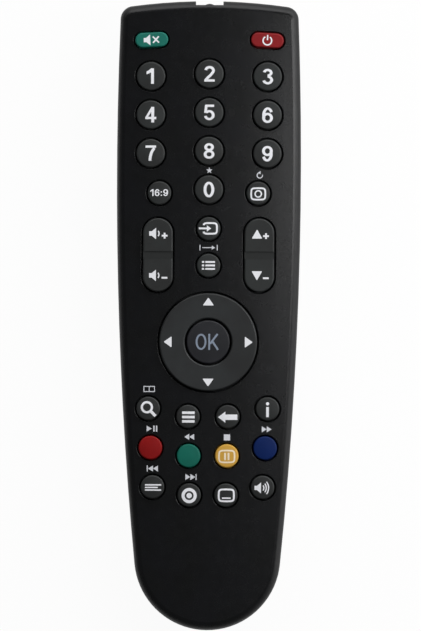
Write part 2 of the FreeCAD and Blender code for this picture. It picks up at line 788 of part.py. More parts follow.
def side_station(down):
    """Height along Y, distance to the inner side wall and lean of the side at a station."""
    y = HALF_LENGTH - down
    rise = y - WIDE_Y
    radius = size("side_radius") - WALL
    x = root(radius * radius - rise * rise) - (size("side_radius") - size("half_width"))
    return y, x, arc_sine(rise / radius)


def side_box(name, way, down, length, near, far, low, high):
    """A box that follows the side wall. near and far are measured outwards from the inner wall."""
    y, x, lean = side_station(down)
    feature = doc.addObject("Part::Box", name)
    bind(feature, "Length", far - near)
    bind(feature, "Width", length)
    bind(feature, "Height", high - low)
    turn = lean if way > 0 else 180 - lean
    feature.Placement.Rotation = FreeCAD.Rotation(FreeCAD.Vector(0, 0, 1), turn.value)
    bind(feature, "Placement.Rotation.Angle", turn)
    # The box grows from its corner, so the corner is set from the middle of its near face.
    corner_x = near * cosine(turn) + length / 2 * sine(turn)
    corner_y = near * sine(turn) - length / 2 * cosine(turn)
    place(feature, way * x + corner_x, y + corner_y, low)
    return feature


# The front shell.


def crown_cut(body, depth, name):
    """Cuts away what lies over the bowed front face, or over the face depth inside it."""
    across = size("crown_across") - depth
    half = size("half_width") * 1.1
    apex = APEX - depth
    edge_z = apex - across + root(across * across - half * half)
    top = APEX + size("front_edge")
    sketch = new_sketch(body, f"{name}_profile", "XZ_Plane")
    corners = [(half, edge_z), (half, top), (-half, top), (-half, edge_z)]
    draw_loop(sketch, corners, {3: (across, -1)})
    return cut_through(body, sketch, name)


def draw_round_holes(sketch, kind):
    """The holes of the round keys of one kind."""
    for key in ROUND_KEYS:
        if key.kind == kind:
            draw_circle(sketch, key.x, key.y, key.radius + size("key_gap"))


def draw_slot_holes(sketch):
    """The holes of the pill-shaped keys and of the rockers."""
    gap = size("key_gap")
    for key, lean in BAR_KEYS:
        draw_slot(sketch, key.x, key.y, BAR_REACH, size("bar_width") / 2 + gap, lean)
    for key in ROCKER_KEYS:
        draw_slot(sketch, key.x, key.y, ROCKER_REACH, size("rocker_width") / 2 + gap, as_dim(90))


def cut_key_holes(body):
    """Cuts the hole of every key, with its gap, and returns the last cut."""
    drawings = (
        ("number_holes", lambda sketch: draw_round_holes(sketch, "number")),
        ("small_holes", lambda sketch: draw_round_holes(sketch, "small")),
        ("ring_hole", lambda sketch: draw_circle(sketch, 0, RING_Y, RING_HOLE)),
        ("slot_holes", draw_slot_holes),
    )
    for name, draw in drawings:
        sketch = new_sketch(body, f"{name}_plan", offset=APEX)
        draw(sketch)
        opened = cut_through(body, sketch, name)
    return opened


def front_form():
    """The front shell as a solid block, with its key holes and its notch."""
    body = new_body("front_form")
    plan = new_sketch(body, "front_plan", offset=PARTING)
    draw_outline(plan, 0, size("head_corner"))
    pad(body, plan, APEX - PARTING + 1, "front_block")
    crown = crown_cut(body, as_dim(0), "front_crown")
    rim_low = (PARTING.value + APEX.value) / 2
    round_edges(
        body, crown, size("front_edge"), lambda edge: edge.BoundBox.ZMin > rim_low, "front_rim"
    )
    opened = cut_key_holes(body)
    doc.recompute()
    upper = [face for face in opened.Shape.Faces if face.BoundBox.ZMin > rim_low]
    face = max(upper, key=lambda face: face.Area)
    holes = [wire for wire in face.Wires if not wire.isSame(face.OuterWire)]
    rims = [edge for wire in holes for edge in wire.Edges]

    def is_hole_rim(edge):
        return any(edge.isSame(rim) for rim in rims)

    round_edges(body, opened, size("hole_edge"), is_hole_rim, "hole_rims")
    notch = new_sketch(body, "front_notch_plan", offset=APEX)
    draw_box(notch, -size("notch_width") / 2, size("notch_width") / 2, NOTCH_FLOOR, HALF_LENGTH + 5)
    cut_through(body, notch, "front_notch")
    return body


def slot_prism(name, key, reach, radius, lean, low, high):
    """An upright slot-shaped block on a key's middle."""
    body = new_body(name)
    plan = new_sketch(body, f"{name}_plan", offset=low)
    draw_slot(plan, key.x, key.y, reach, radius, lean)
    pad(body, plan, high - low, f"{name}_block")
    return body


def key_collars():
    """The guide collars round the key holes, as solid blocks that reach up into the shell."""
    top = APEX + 1
    grow = size("key_gap") + size("collar_wall")
    pieces = [
        cylinder(f"collar_{key.name}", key.x, key.y, COLLAR_PLANE, top, key.radius + grow)
        for key in ROUND_KEYS
    ]
    pieces.append(
        cylinder("collar_ring", 0, RING_Y, RING_COLLAR_PLANE, top, RING_HOLE + size("collar_wall"))
    )
    for key, lean in BAR_KEYS:
        width = size("bar_width") / 2 + grow
        pieces.append(
            slot_prism(f"collar_{key.name}", key, BAR_REACH, width, lean, COLLAR_PLANE, top)
        )
    for key in ROCKER_KEYS:
        width = size("rocker_width") / 2 + grow
        pieces.append(
            slot_prism(f"collar_{key.name}", key, ROCKER_REACH, width, as_dim(90), COLLAR_PLANE, top)
        )
    return pieces


def board_posts():
    """The posts that press on the board, each with a pin that passes through it."""
    pieces = []
    pin_low = size("board_bottom") - size("pin_stand")
    for number, (across, down) in enumerate(FRONT_POSTS, start=1):
        for way, side in SIDES:
            x, y = across * way, HALF_LENGTH - down
            name = f"{side}_{number}"
            pieces.append(cylinder(f"post_{name}", x, y, BOARD_TOP, APEX, size("post_radius")))
            pieces.append(cylinder(f"pin_{name}", x, y, pin_low, APEX, size("pin_radius")))
    return pieces


SCREW_Y = NOSE_Y + size("screw_from_nose")
SCREW_TOP = size("screw_seat") + size("screw_length")
BOSS_RADIUS = size("screw_radius") + size("boss_wall")


def screw_boss():
    """The front shell's boss for the case screw, with its blind hole."""
    boss = cylinder("front_boss_post", 0, SCREW_Y, PARTING, APEX, BOSS_RADIUS)
    hole = cylinder("front_boss_hole", 0, SCREW_Y, PARTING - 1, SCREW_TOP + 1, size("screw_radius"))
    return cut("front_boss", boss, hole)


def front_cavity():
    """The space inside the front shell, without the collars, posts and bosses that stand in it."""
    body = new_body("front_space")
    floor = PARTING - 1
    plan = new_sketch(body, "front_space_plan", offset=floor)
    draw_outline(plan, WALL, size("head_corner") - WALL)
    pad(body, plan, APEX - floor, "front_space_block")
    crown_cut(body, WALL, "front_space_crown")
    rebate = new_sketch(body, "front_rebate_plan", offset=floor)
    split = LIP_SPLIT - size("lip_gap")
    draw_outline(rebate, split, size("head_corner") - split)
    pad(body, rebate, LIP_TOP + size("lip_gap") - floor, "front_rebate")
    half_seat = size("seat_width") / 2
    seat = box("front_led_seat", -half_seat, half_seat, SEAT_BACK, HALF_LENGTH, PARTING, APEX)
    standing = fused("front_standing", key_collars() + board_posts() + [screw_boss(), seat])
    return cut("front_cavity", body, standing)


def hook_pockets():
    """Pockets inside the front shell's side walls for the snap hooks' barbs."""
    gap = size("hook_gap")
    low = PARTING + size("hook_rise") - size("hook_bite") * 2
    return [
        side_box(
            f"hook_pocket_{side}_{number}",
            way,
            down,
            size("hook_length") + 2 * gap,
            as_dim(-0.5),
            size("hook_bite") + gap,
            low - gap,
            PARTING + size("hook_rise") + gap,
        )
        for number, down in enumerate(HOOK_STATIONS, start=1)
        for way, side in SIDES
    ]


def led_hole(name):
    """The round way through the end wall for the diode."""
    radius = size("led_radius") + size("led_gap")
    return lying_cylinder(name, 0, PARTING, SEAT_BACK - 1, HALF_LENGTH + 1, radius)


def front_shell():
    """The front shell: block, less its space, the hooks' pockets and the diode's half hole."""
    taken = fused("front_taken", [front_cavity(), led_hole("front_led_hole")] + hook_pockets())
    return cut("top_shell", front_form(), taken)


# The rear shell and the battery door.

BAY_LOW = NOSE_Y + size("bay_from_nose")
BAY_LENGTH = size("cell_length") + size("cell_tip") + size("spring_room") + 2 * size("plate_room")
BAY_HIGH = BAY_LOW + BAY_LENGTH
BAY_HALF = size("cell_pitch") / 2 + size("cell_radius") + size("cell_gap")
CELL_Z = size("door_thick") + size("cell_float") + size("cell_radius")
BAY_TOP = CELL_Z + size("cell_radius") + size("cell_gap")
TRAY_TOP = BAY_TOP + size("tray_wall")
DOOR_HIGH = BAY_HIGH + size("door_head_lap")
TAB_X = BAY_HALF - size("tab_from_side")
TAB_Y = BAY_HIGH - size("plate_room") / 2
RECESS_TOP = size("door_thick") + size("door_gap")
RAIL_HALF = size("door_half") + size("rail_reach")
RAIL_END = DOOR_HIGH - size("rail_from_edge")
RAIL_LOW = size("rail_low")
RAIL_HIGH = size("rail_high")


def floor_inset(height):
    """How far the tapered outside is drawn in at a height over the underside."""
    return size("rear_inset") * (1 - height / PARTING)


def rear_form():
    """The outside of the rear shell as a solid block: tapered, with a rounded underside."""
    body = new_body("rear_form")
    underside = new_sketch(body, "rear_underside", offset=as_dim(0))
    draw_outline(underside, size("rear_inset"), size("rear_corner"))
    rim = new_sketch(body, "rear_rim", offset=PARTING)
    draw_outline(rim, 0, size("head_corner"))
    block = body.newObject("PartDesign::AdditiveLoft", "rear_block")
    block.Profile = rim
    block.Sections = [underside]
    block.Ruled = True
    low = PARTING.value / 4
    round_edges(body, block, size("rear_edge"), lambda edge: edge.BoundBox.ZMax < low, "rear_edge_round")
    return body


def rear_space():
    """The space inside the rear shell up to the top of its lip."""
    body = new_body("rear_space")
    inset = floor_inset(WALL) + WALL
    low_corner = size("rear_corner") - WALL
    floor = new_sketch(body, "rear_space_floor", offset=WALL)
    draw_outline(floor, inset, low_corner)
    rim = new_sketch(body, "rear_space_rim", offset=PARTING)
    draw_outline(rim, WALL, size("head_corner") - WALL)
    block = body.newObject("PartDesign::AdditiveLoft", "rear_space_block")
    block.Profile = rim
    block.Sections = [floor]
    block.Ruled = True
    return body


def rear_lip():
    """The tongue that stands on the rear shell's rim and fits inside the front shell."""
    body = new_body("rear_lip")
    root_z = PARTING - 1
    plan = new_sketch(body, "rear_lip_plan", offset=root_z)
    draw_outline(plan, LIP_SPLIT, size("head_corner") - LIP_SPLIT)
    draw_outline(plan, WALL, size("head_corner") - WALL)
    pad(body, plan, LIP_TOP - root_z, "rear_lip_ring")
    return body


def tray_blocks():
    """The battery tray and the ledges over the door, as solid blocks."""
    half = BAY_HALF + size("tray_wall")
    low, high = BAY_LOW - size("tray_wall"), BAY_HIGH + size("tray_wall")
    ledge_half = RAIL_HALF + size("ledge_side")
    ledge_high = DOOR_HIGH + size("ledge_lap")
    ledge_top = RECESS_TOP + size("ledge_thick")
    return [
        box("tray_block", -half, half, low, high, WALL / 2, PARTING),
        box("ledge_block", -ledge_half, ledge_half, NOSE_Y, ledge_high, WALL / 2, ledge_top),
    ]


def rear_standing():
    """What stands inside the rear shell below the parting line."""
    half_seat = size("seat_width") / 2
    seat = box("rear_led_seat", -half_seat, half_seat, SEAT_BACK, HALF_LENGTH, WALL / 2, PARTING)
    boss = cylinder("rear_boss_post", 0, SCREW_Y, WALL / 2, PARTING, size("screw_head") + size("boss_wall"))
    return tray_blocks() + [seat, boss]


def rear_risers():
    """What stands on the rear shell above the parting line: tray, board posts, lip and hooks."""
    half = BAY_HALF + size("tray_wall")
    low, high = BAY_LOW - size("tray_wall"), BAY_HIGH + size("tray_wall")
    pieces = [rear_lip(), box("tray_top", -half, half, low, high, PARTING - 1, TRAY_TOP)]
    for number, (across, down) in enumerate(REAR_POSTS, start=1):
        for way, side in SIDES:
            x, y = as_dim(way * across), HALF_LENGTH - down
            name = f"rear_post_{side}_{number}"
            pieces.append(cylinder(name, x, y, WALL / 2, size("board_bottom"), size("post_radius")))
    gap, thick, bite = size("hook_gap"), size("hook_thick"), size("hook_bite")
    top = PARTING + size("hook_rise")
    for number, down in enumerate(HOOK_STATIONS, start=1):
        for way, side in SIDES:
            name = f"hook_{side}_{number}"
            length = size("hook_length")
            pieces.append(
                side_box(f"{name}_arm", way, down, length, -gap - thick, -gap, PARTING - 4, top)
            )
            pieces.append(
                side_box(f"{name}_foot", way, down, length, -gap - thick, gap, PARTING - 4, PARTING)
            )
            pieces.append(
                side_box(f"{name}_barb", way, down, length, -gap - thick / 2, bite, top - 2 * bite, top)
            )
    return pieces


def tab_slots():
    """Slots through the tray's roof for the tabs of the two contacts at its head end."""
    half = size("tab_width") / 2 + size("tab_gap")
    back, front = BAY_HIGH - size("plate_room") - size("tab_gap"), BAY_HIGH + size("tab_gap")
    slots = []
    for way, side in SIDES:
        left, right = way * TAB_X - half, way * TAB_X + half
        slots.append(box(f"tab_slot_{side}", left, right, back, front, BAY_TOP - 1, TRAY_TOP + 1))
    return slots


def door_strip(name, half, high, low_z, high_z):
    """A flat strip from past the nose up to the door's head end."""
    return box(name, -half, half, NOSE_Y - 1, high, low_z, high_z)


def rear_openings():
    """What is cut from the rear shell: bay, door recess with its grooves, holes and notch."""
    gap = size("door_gap")
    half_notch = size("notch_width") / 2
    half_break = size("seat_width") / 2 + size("lip_gap")
    return tab_slots() + [
        box("battery_bay", -BAY_HALF, BAY_HALF, BAY_LOW, BAY_HIGH, -1, BAY_TOP),
        door_strip("door_recess", size("door_half") + gap, DOOR_HIGH + gap, -1, RECESS_TOP),
        door_strip("door_grooves", RAIL_HALF + gap, RAIL_END, RAIL_LOW - gap, RAIL_HIGH + gap),
        cylinder("screw_way", 0, SCREW_Y, as_dim(-1), PARTING + 1, size("screw_radius") + gap),
        cylinder("screw_sink", 0, SCREW_Y, as_dim(-1), size("screw_seat"), size("screw_head") + gap),
        box("rear_notch", -half_notch, half_notch, NOTCH_FLOOR, HALF_LENGTH + 5, -1, LIP_TOP + 1),
        box("lip_break", -half_break, half_break, SEAT_BACK - 1, HALF_LENGTH, PARTING, LIP_TOP + 1),
        led_hole("rear_led_hole"),
    ]


def rear_shell(form):
    """The rear shell with its tray, posts, lip and snap hooks."""
    space = cut("rear_cavity", rear_space(), fused("rear_standing", rear_standing()))
    hollow = cut("rear_hollow", form, space)
    whole = fused("rear_whole", [hollow] + rear_risers())
    return cut("rear_shell", whole, fused("rear_openings", rear_openings()))


def battery_door(form):
    """The sliding door: a strip of the rear shell's outside, with side tongues and a thumb grip."""
    half = size("door_half")
    strip = door_strip("door_strip", half, DOOR_HIGH, size("door_flush"), size("door_thick"))
    front = RAIL_END - size("door_gap")
    back = front - size("rail_length")
    rails = box("door_rails", -RAIL_HALF, RAIL_HALF, back, front, RAIL_LOW, RAIL_HIGH)
    plate = common("door_plate", fused("door_blank", [strip, rails]), form)
    grooves = []
    for number in range(GRIP_GROOVES):
        start = DOOR_HIGH - size("grip_from_edge") - number * size("grip_pitch")
        grooves.append(
            box(
                f"grip_{number}",
                -size("grip_width") / 2,
                size("grip_width") / 2,
                start - size("grip_groove"),
                start,
                -1,
                size("door_flush") + size("grip_depth"),
            )
        )
    return cut("battery_door", plate, fused("door_grip", grooves))


# The keys.


def dome_radius(reach, rise):
    """Radius of a shallow dome that rises over a reach."""
    return (reach * reach + rise * rise) / (2 * rise)


def carbon_pill(name, x, y, low, radius):
    """The conductive pill under a stem."""
    return cylinder(name, x, y, low, low + size("pill_thick"), radius - size("pill_margin"))


PILL_LOW = PAD_TOP + size("key_travel_gap")
STEM_LOW = PILL_LOW + size("pill_thick")


def round_key(key):
    """A round key turned from its half section: stem, flange, side, rounded rim and domed top."""
    body = new_body(f"{key.name}_cap")
    top = front_height_at(key.x) + size("key_stand")
    edge, dome = size("key_edge"), size("key_dome")
    flange = key.radius + size("flange_lap")
    flat = key.radius - edge
    corners = [
        (0, STEM_LOW),
        (key.stem, STEM_LOW),
        (key.stem, FLANGE_BOTTOM),
        (flange, FLANGE_BOTTOM),
        (flange, FLANGE_TOP),
        (key.radius, FLANGE_TOP),
        (key.radius, top - dome - edge),
        (flat, top - dome),
        (0, top),
    ]
    section = new_sketch(body, f"{key.name}_section", "XZ_Plane")
    draw_loop(section, corners, {6: (edge, 1), 7: (dome_radius(flat, dome), 1)})
    spin(body, section, f"{key.name}_turned")
    place(body, key.x, key.y, 0)
    pill = carbon_pill(f"{key.name}_pill", key.x, key.y, PILL_LOW, key.stem)
    return group(key.name, [body, pill])


def bar_key(key, lean):
    """A pill-shaped key with a flange all round and one round stem."""
    body = new_body(f"{key.name}_cap")
    top = front_height_at(key.x) + size("key_stand")
    middle = as_dim(0)
    flange_plan = new_sketch(body, f"{key.name}_flange_plan", offset=FLANGE_BOTTOM)
    draw_slot(flange_plan, middle, middle, BAR_REACH, size("bar_width") / 2 + size("flange_lap"))
    pad(body, flange_plan, size("flange_thick"), f"{key.name}_flange")
    plan = new_sketch(body, f"{key.name}_plan", offset=FLANGE_BOTTOM)
    draw_slot(plan, middle, middle, BAR_REACH, size("bar_width") / 2)
    cap = pad(body, plan, top - FLANGE_BOTTOM, f"{key.name}_block")
    limit = top.value - 0.01
    round_edges(
        body, cap, size("key_edge"), lambda edge: edge.BoundBox.ZMin > limit, f"{key.name}_rim"
    )
    stem_plan = new_sketch(body, f"{key.name}_stem_plan", offset=STEM_LOW)
    draw_circle(stem_plan, 0, 0, size("bar_stem"))
    pad(body, stem_plan, FLANGE_BOTTOM - STEM_LOW, f"{key.name}_stem")
    body.Placement.Rotation = FreeCAD.Rotation(FreeCAD.Vector(0, 0, 1), lean.value)
    bind(body, "Placement.Rotation.Angle", lean)
    place(body, key.x, key.y, 0)
    pill = carbon_pill(f"{key.name}_pill", key.x, key.y, PILL_LOW, size("bar_stem"))
    return group(key.name, [body, pill])


def rocker_key(key):
    """A rocker: slot-shaped bar with a sunk waist, two pivot wings and two plungers."""
    body = new_body(f"{key.name}_cap")
    top = front_height_at(key.x) + size("key_stand")
    low = WEB_TOP + size("rocker_bottom")
    middle = as_dim(0)
    plan = new_sketch(body, f"{key.name}_plan", offset=low)
    draw_slot(plan, middle, middle, ROCKER_REACH, size("rocker_width") / 2, as_dim(90))
    cap = pad(body, plan, top - low, f"{key.name}_block")
    limit = top.value - 0.01
    round_edges(
        body, cap, size("key_edge"), lambda edge: edge.BoundBox.ZMin > limit, f"{key.name}_rim"
    )
    waist = new_sketch(body, f"{key.name}_waist_plan", offset=top - size("rocker_waist_depth"))
    half_waist = size("rocker_waist") / 2
    draw_box(waist, -size("rocker_width"), size("rocker_width"), -half_waist, half_waist)
    cut_up(body, waist, size("rocker_waist_depth") + 1, f"{key.name}_waist")
    wing_low = COLLAR_PLANE - size("flange_gap") - size("flange_thick")
    wings = new_sketch(body, f"{key.name}_wing_plan", offset=wing_low)
    reach = size("rocker_width") / 2 + size("key_gap") + size("wing_lap")
    draw_box(wings, -reach, reach, -size("wing_width") / 2, size("wing_width") / 2)
    pad(body, wings, size("flange_thick"), f"{key.name}_wings")
    pill_low = PAD_TOP + size("rocker_pill_gap")
    stem_low = pill_low + size("pill_thick")
    stems = new_sketch(body, f"{key.name}_stem_plan", offset=stem_low)
    for way in (1, -1):
        draw_circle(stems, 0, way * size("rocker_plunger"), size("plunger_radius"))
    pad(body, stems, low - stem_low, f"{key.name}_stems")
    place(body, key.x, key.y, 0)
    pills = [
        carbon_pill(
            f"{key.name}_pill_{number}",
            key.x,
            key.y + way * size("rocker_plunger"),
            pill_low,
            size("plunger_radius"),
        )
        for number, way in enumerate((1, -1))
    ]
    return group(key.name, [body] + pills)


RING_TOP = APEX + size("key_stand")
RING_FLANGE_TOP = RING_COLLAR_PLANE - size("ring_flange_gap")
RING_CEILING = RING_TOP - size("ring_plate")


def navigation_ring():
    """The ring: a hollow cap with a flange below and a bored middle for the confirm key."""
    body = new_body("nav_ring")
    edge = size("key_edge")
    outer, bore = size("ring_radius"), size("ring_bore")
    inner_wall = outer - size("ring_wall")
    bore_wall = bore + size("ring_bore_wall")
    bore_low = FLANGE_TOP + size("ring_bore_clear")
    flange = RING_HOLE + size("flange_lap")
    flange_low = RING_FLANGE_TOP - size("ring_flange")
    corners = [
        (bore, bore_low),
        (bore_wall, bore_low),
        (bore_wall, RING_CEILING),
        (inner_wall, RING_CEILING),
        (inner_wall, flange_low),
        (flange, flange_low),
        (flange, RING_FLANGE_TOP),
        (outer, RING_FLANGE_TOP),
        (outer, RING_TOP - edge),
        (outer - edge, RING_TOP),
        (bore + edge, RING_TOP),
        (bore, RING_TOP - edge),
    ]
    section = new_sketch(body, "nav_ring_section", "XZ_Plane")
    draw_loop(section, corners, {8: (edge, 1), 10: (edge, 1)})
    spin(body, section, "nav_ring_turned")
    place(body, 0, RING_Y, 0)
    return body


def ring_pad():
    """The rubber pad inside the ring, with a plunger and a carbon pill under each arrow."""
    gap = size("pad_side_gap")
    inner = size("ring_bore") + size("ring_bore_wall") + gap
    outer = size("ring_radius") - size("ring_wall") - gap
    low = WEB_TOP + size("pad_web_gap")
    body = new_body("ring_pad_rubber")
    plan = new_sketch(body, "ring_pad_plan", offset=low)
    draw_circle(plan, 0, 0, outer)
    draw_circle(plan, 0, 0, inner)
    pad(body, plan, RING_CEILING - low, "ring_pad_annulus")
    pill_low = PAD_TOP + size("ring_pill_gap")
    stem_low = pill_low + size("pill_thick")
    stems = new_sketch(body, "ring_pad_stem_plan", offset=stem_low)
    reach = size("ring_plunger")
    for end, across, along in RING_PLUNGERS:
        draw_circle(stems, across * reach, along * reach, size("plunger_radius"))
    pad(body, stems, low - stem_low, "ring_pad_stems")
    place(body, 0, RING_Y, 0)
    pills = [
        carbon_pill(
            f"nav_pill_{end}", across * reach, RING_Y + along * reach, pill_low, size("plunger_radius")
        )
        for end, across, along in RING_PLUNGERS
    ]
    return group("nav_ring_pad", [body] + pills)


# The rubber mat and the circuit board.


def board_plan(body, name, inset, low):
    """The front shell's plan drawn in by inset, cut off at the board's lower edge."""
    plan = new_sketch(body, f"{name}_plan", offset=low)
    draw_outline(plan, inset, size("board_corner"))
    return plan


def cut_board_end(body, name, height, end):
    """Cuts off what lies past the lower edge."""
    sketch = new_sketch(body, f"{name}_end_plan", offset=height)
    wide = size("half_width") + 5
    draw_box(sketch, -wide, wide, NOSE_Y - 5, end)
    cut_through(body, sketch, f"{name}_end")


BOARD_LOW_Y = HALF_LENGTH - size("board_length")
LED_TIP_Y = NOTCH_FLOOR + size("led_stand")
LED_BACK_Y = LED_TIP_Y - size("led_length")
LED_LEAD_Y = LED_BACK_Y - size("led_lead_run")


def draw_post_holes(sketch, radius):
    """A hole for each of the front shell's posts."""
    for across, down in FRONT_POSTS:
        for way, side in SIDES:
            draw_circle(sketch, across * way, HALF_LENGTH - down, radius)


def keypad_mat():
    """The rubber mat: a flat web with a thin bell under every stem."""
    body = new_body("mat_web")
    inset = WALL + size("board_gap") + size("mat_gap")
    plan = board_plan(body, "mat_web", inset, BOARD_TOP)
    pad(body, plan, size("web_thick"), "mat_web_sheet")
    cut_board_end(body, "mat_web", BOARD_TOP, BOARD_LOW_Y + size("mat_gap"))
    holes = new_sketch(body, "mat_holes_plan", offset=BOARD_TOP)
    draw_post_holes(holes, size("post_radius") + size("pin_gap"))
    aside = size("led_lead") / 2 + size("lead_relief")
    reach = size("led_pitch") / 2 + aside
    draw_box(holes, -reach, reach, LED_LEAD_Y - aside, LED_LEAD_Y + aside)
    cut_through(body, holes, "mat_holes")
    outsides, insides = [], []
    skin = size("bell_skin")
    for name, x, y, radius in plungers():
        foot = radius + size("bell_spread")
        outsides.append(
            cone(f"bell_{name}", x, y, WEB_TOP - skin, FLANGE_BOTTOM, foot + skin, radius + skin)
        )
        insides.append(cone(f"bell_inside_{name}", x, y, WEB_TOP, FLANGE_BOTTOM, foot, radius))
        insides.append(cylinder(f"bell_foot_{name}", x, y, BOARD_TOP - 1, WEB_TOP, foot))
    whole = fused("mat_whole", [body] + outsides)
    return cut("keypad_mat", whole, fused("mat_hollows", insides))


def circuit_board():
    """The board, with holes for the posts' pins, the diode's leads and the contacts' tabs."""
    body = new_body("circuit_board")
    low = size("board_bottom")
    plan = board_plan(body, "board", WALL + size("board_gap"), low)
    pad(body, plan, size("board_thick"), "board_sheet")
    cut_board_end(body, "board", low, BOARD_LOW_Y)
    holes = new_sketch(body, "board_holes_plan", offset=low)
    draw_post_holes(holes, size("pin_radius") + size("pin_gap"))
    for way, side in SIDES:
        lead_hole = size("led_lead") / 2 + size("lead_hole_gap")
        draw_circle(holes, way * size("led_pitch") / 2, LED_LEAD_Y, lead_hole)
        draw_circle(holes, way * TAB_X, TAB_Y, size("tab_width") / 2 + size("tab_gap"))
    cut_through(body, holes, "board_holes")
    return body


def contact_pads():
    """The printed contact pads under the carbon pills."""
    return group(
        "contact_pads",
        [
            cylinder(f"pad_{name}", x, y, BOARD_TOP, PAD_TOP, radius - size("pill_margin"))
            for name, x, y, radius in plungers()
        ],
    )


# The parts on the circuit board. Those below it hang from its underside.

LED_AXIS_Z = PARTING
LEAD_TOP = BOARD_TOP + size("lead_proud")
BOARD_BOTTOM = size("board_bottom")


def controller_chip():
    """The controller's plastic body, under the board."""
    x, y = size("chip_across"), HALF_LENGTH - size("chip_from_head")
    half_width, half_length = size("chip_width") / 2, size("chip_length") / 2
    top = BOARD_BOTTOM - size("chip_lift")
    return box(
        "controller_chip",
        x - half_width,
        x + half_width,
        y - half_length,
        y + half_length,
        top - size("chip_high"),
        top,
    )


def chip_leads():
    """The controller's leads: each a shoulder out of the body, a leg up and a foot on the board."""
    x, y = size("chip_across"), HALF_LENGTH - size("chip_from_head")
    thick, half = size("lead_thick"), size("lead_width") / 2
    shoulder_z = BOARD_BOTTOM - size("chip_lift") - size("chip_high") / 2
    edge = size("chip_width") / 2
    leg = edge + size("lead_shoulder")
    toe = leg + size("lead_foot")
    leads = []
    for number in range(CHIP_LEADS_PER_SIDE):
        middle = y + (number - (CHIP_LEADS_PER_SIDE - 1) / 2) * size("lead_pitch")
        back, front = middle - half, middle + half
        for way, side in SIDES:
            name = f"chip_lead_{side}_{number}"
            spans = (
                (edge, leg, shoulder_z - thick / 2, shoulder_z + thick / 2),
                (leg - thick, leg, shoulder_z - thick / 2, BOARD_BOTTOM),
                (leg - thick, toe, BOARD_BOTTOM - thick, BOARD_BOTTOM),
            )
            bars = []
            for part, (near, far, low, high) in enumerate(spans):
                left, right = (near, far) if way > 0 else (-far, -near)
                bars.append(box(f"{name}_{part}", x + left, x + right, back, front, low, high))
            leads.append(fused(name, bars))
    return group("chip_leads", leads)


def resonator():
    """The ceramic resonator that hangs under the board."""
    x, y = -size("resonator_across"), HALF_LENGTH - size("resonator_from_head")
    half_width, half_length = size("resonator_width") / 2, size("resonator_length") / 2
    low = BOARD_BOTTOM - size("resonator_high")
    return box(
        "resonator", x - half_width, x + half_width, y - half_length, y + half_length, low, BOARD_BOTTOM
    )


def capacitor():
    """The electrolytic capacitor that lies along the board's underside, with its two leads."""
    x, back = size("can_across"), HALF_LENGTH - size("can_from_head")
    radius, half = size("can_radius"), size("can_lead") / 2
    axis_z = BOARD_BOTTOM - radius
    can = lying_cylinder("capacitor_can", x, axis_z, back, back + size("can_length"), radius)
    leads = []
    for way, side in SIDES:
        middle = x + way * size("can_lead_pitch") / 2
        start = back - size("can_lead_run")
        run = box(
            f"capacitor_run_{side}", middle - half, middle + half, start, back, axis_z - half, axis_z + half
        )
        rise = box(
            f"capacitor_rise_{side}",
            middle - half,
            middle + half,
            start,
            start + 2 * half,
            axis_z - half,
            BOARD_BOTTOM,
        )
        leads.append(fused(f"capacitor_lead_{side}", [run, rise]))
    return group("capacitor", [can] + leads)


def smd_passives():
    """Small chip resistors and capacitors in two rows under the board."""
    length, width, high = size("smd_length"), size("smd_width"), size("smd_high")
    first_y = HALF_LENGTH - size("smd_from_head")
    chips = []
    for number in range(SMD_PER_ROW):
        y = first_y - number * size("smd_pitch")
        for way, side in SIDES:
            x = size("chip_across") + way * size("smd_across")
            name = f"smd_{side}_{number}"
            chips.append(
                box(
                    name,
                    x - length / 2,
                    x + length / 2,
                    y - width / 2,
                    y + width / 2,
                    BOARD_BOTTOM - high,
                    BOARD_BOTTOM,
                )
            )
    return group("smd_passives", chips)


def drive_transistor():
    """The transistor that drives the diode: a small body and three flat leads."""
    x, y = size("transistor_across"), HALF_LENGTH - size("transistor_from_head")
    length, width, high = size("transistor_length"), size("transistor_width"), size("transistor_high")
    foot, half = size("transistor_foot"), size("lead_width") / 2
    body = box(
        "transistor_body",
        x - length / 2,
        x + length / 2,
        y - width / 2,
        y + width / 2,
        BOARD_BOTTOM - high,
        BOARD_BOTTOM,
    )
    pieces = [body]
    for number, (across, way) in enumerate(((-1, 1), (1, 1), (0, -1))):
        middle = x + across * size("transistor_pitch")
        near = y + way * width / 2
        far = near + way * foot
        back, front = (near, far) if way > 0 else (far, near)
        pieces.append(
            box(
                f"transistor_lead_{number}",
                middle - half,
                middle + half,
                back,
                front,
                BOARD_BOTTOM - size("lead_thick"),
                BOARD_BOTTOM,
            )
        )
    return group("drive_transistor", pieces)


def infrared_diode():
    """The diode: a dome on a round body with a flange at its back, pointing out of the head end."""
    body = new_body("ir_led")
    radius, length = size("led_radius"), size("led_length")
    flange = radius + size("led_flange")
    corners = [
        (0, 0),
        (flange, 0),
        (flange, size("led_flange_thick")),
        (radius, size("led_flange_thick")),
        (radius, length - radius),
        (0, length),
    ]
    section = new_sketch(body, "ir_led_section", "XZ_Plane")
    draw_loop(section, corners, {4: (radius, 1)})
    spin(body, section, "ir_led_turned")
    body.Placement.Rotation = FreeCAD.Rotation(FreeCAD.Vector(1, 0, 0), -90)
    place(body, 0, LED_BACK_Y, LED_AXIS_Z)
    return body


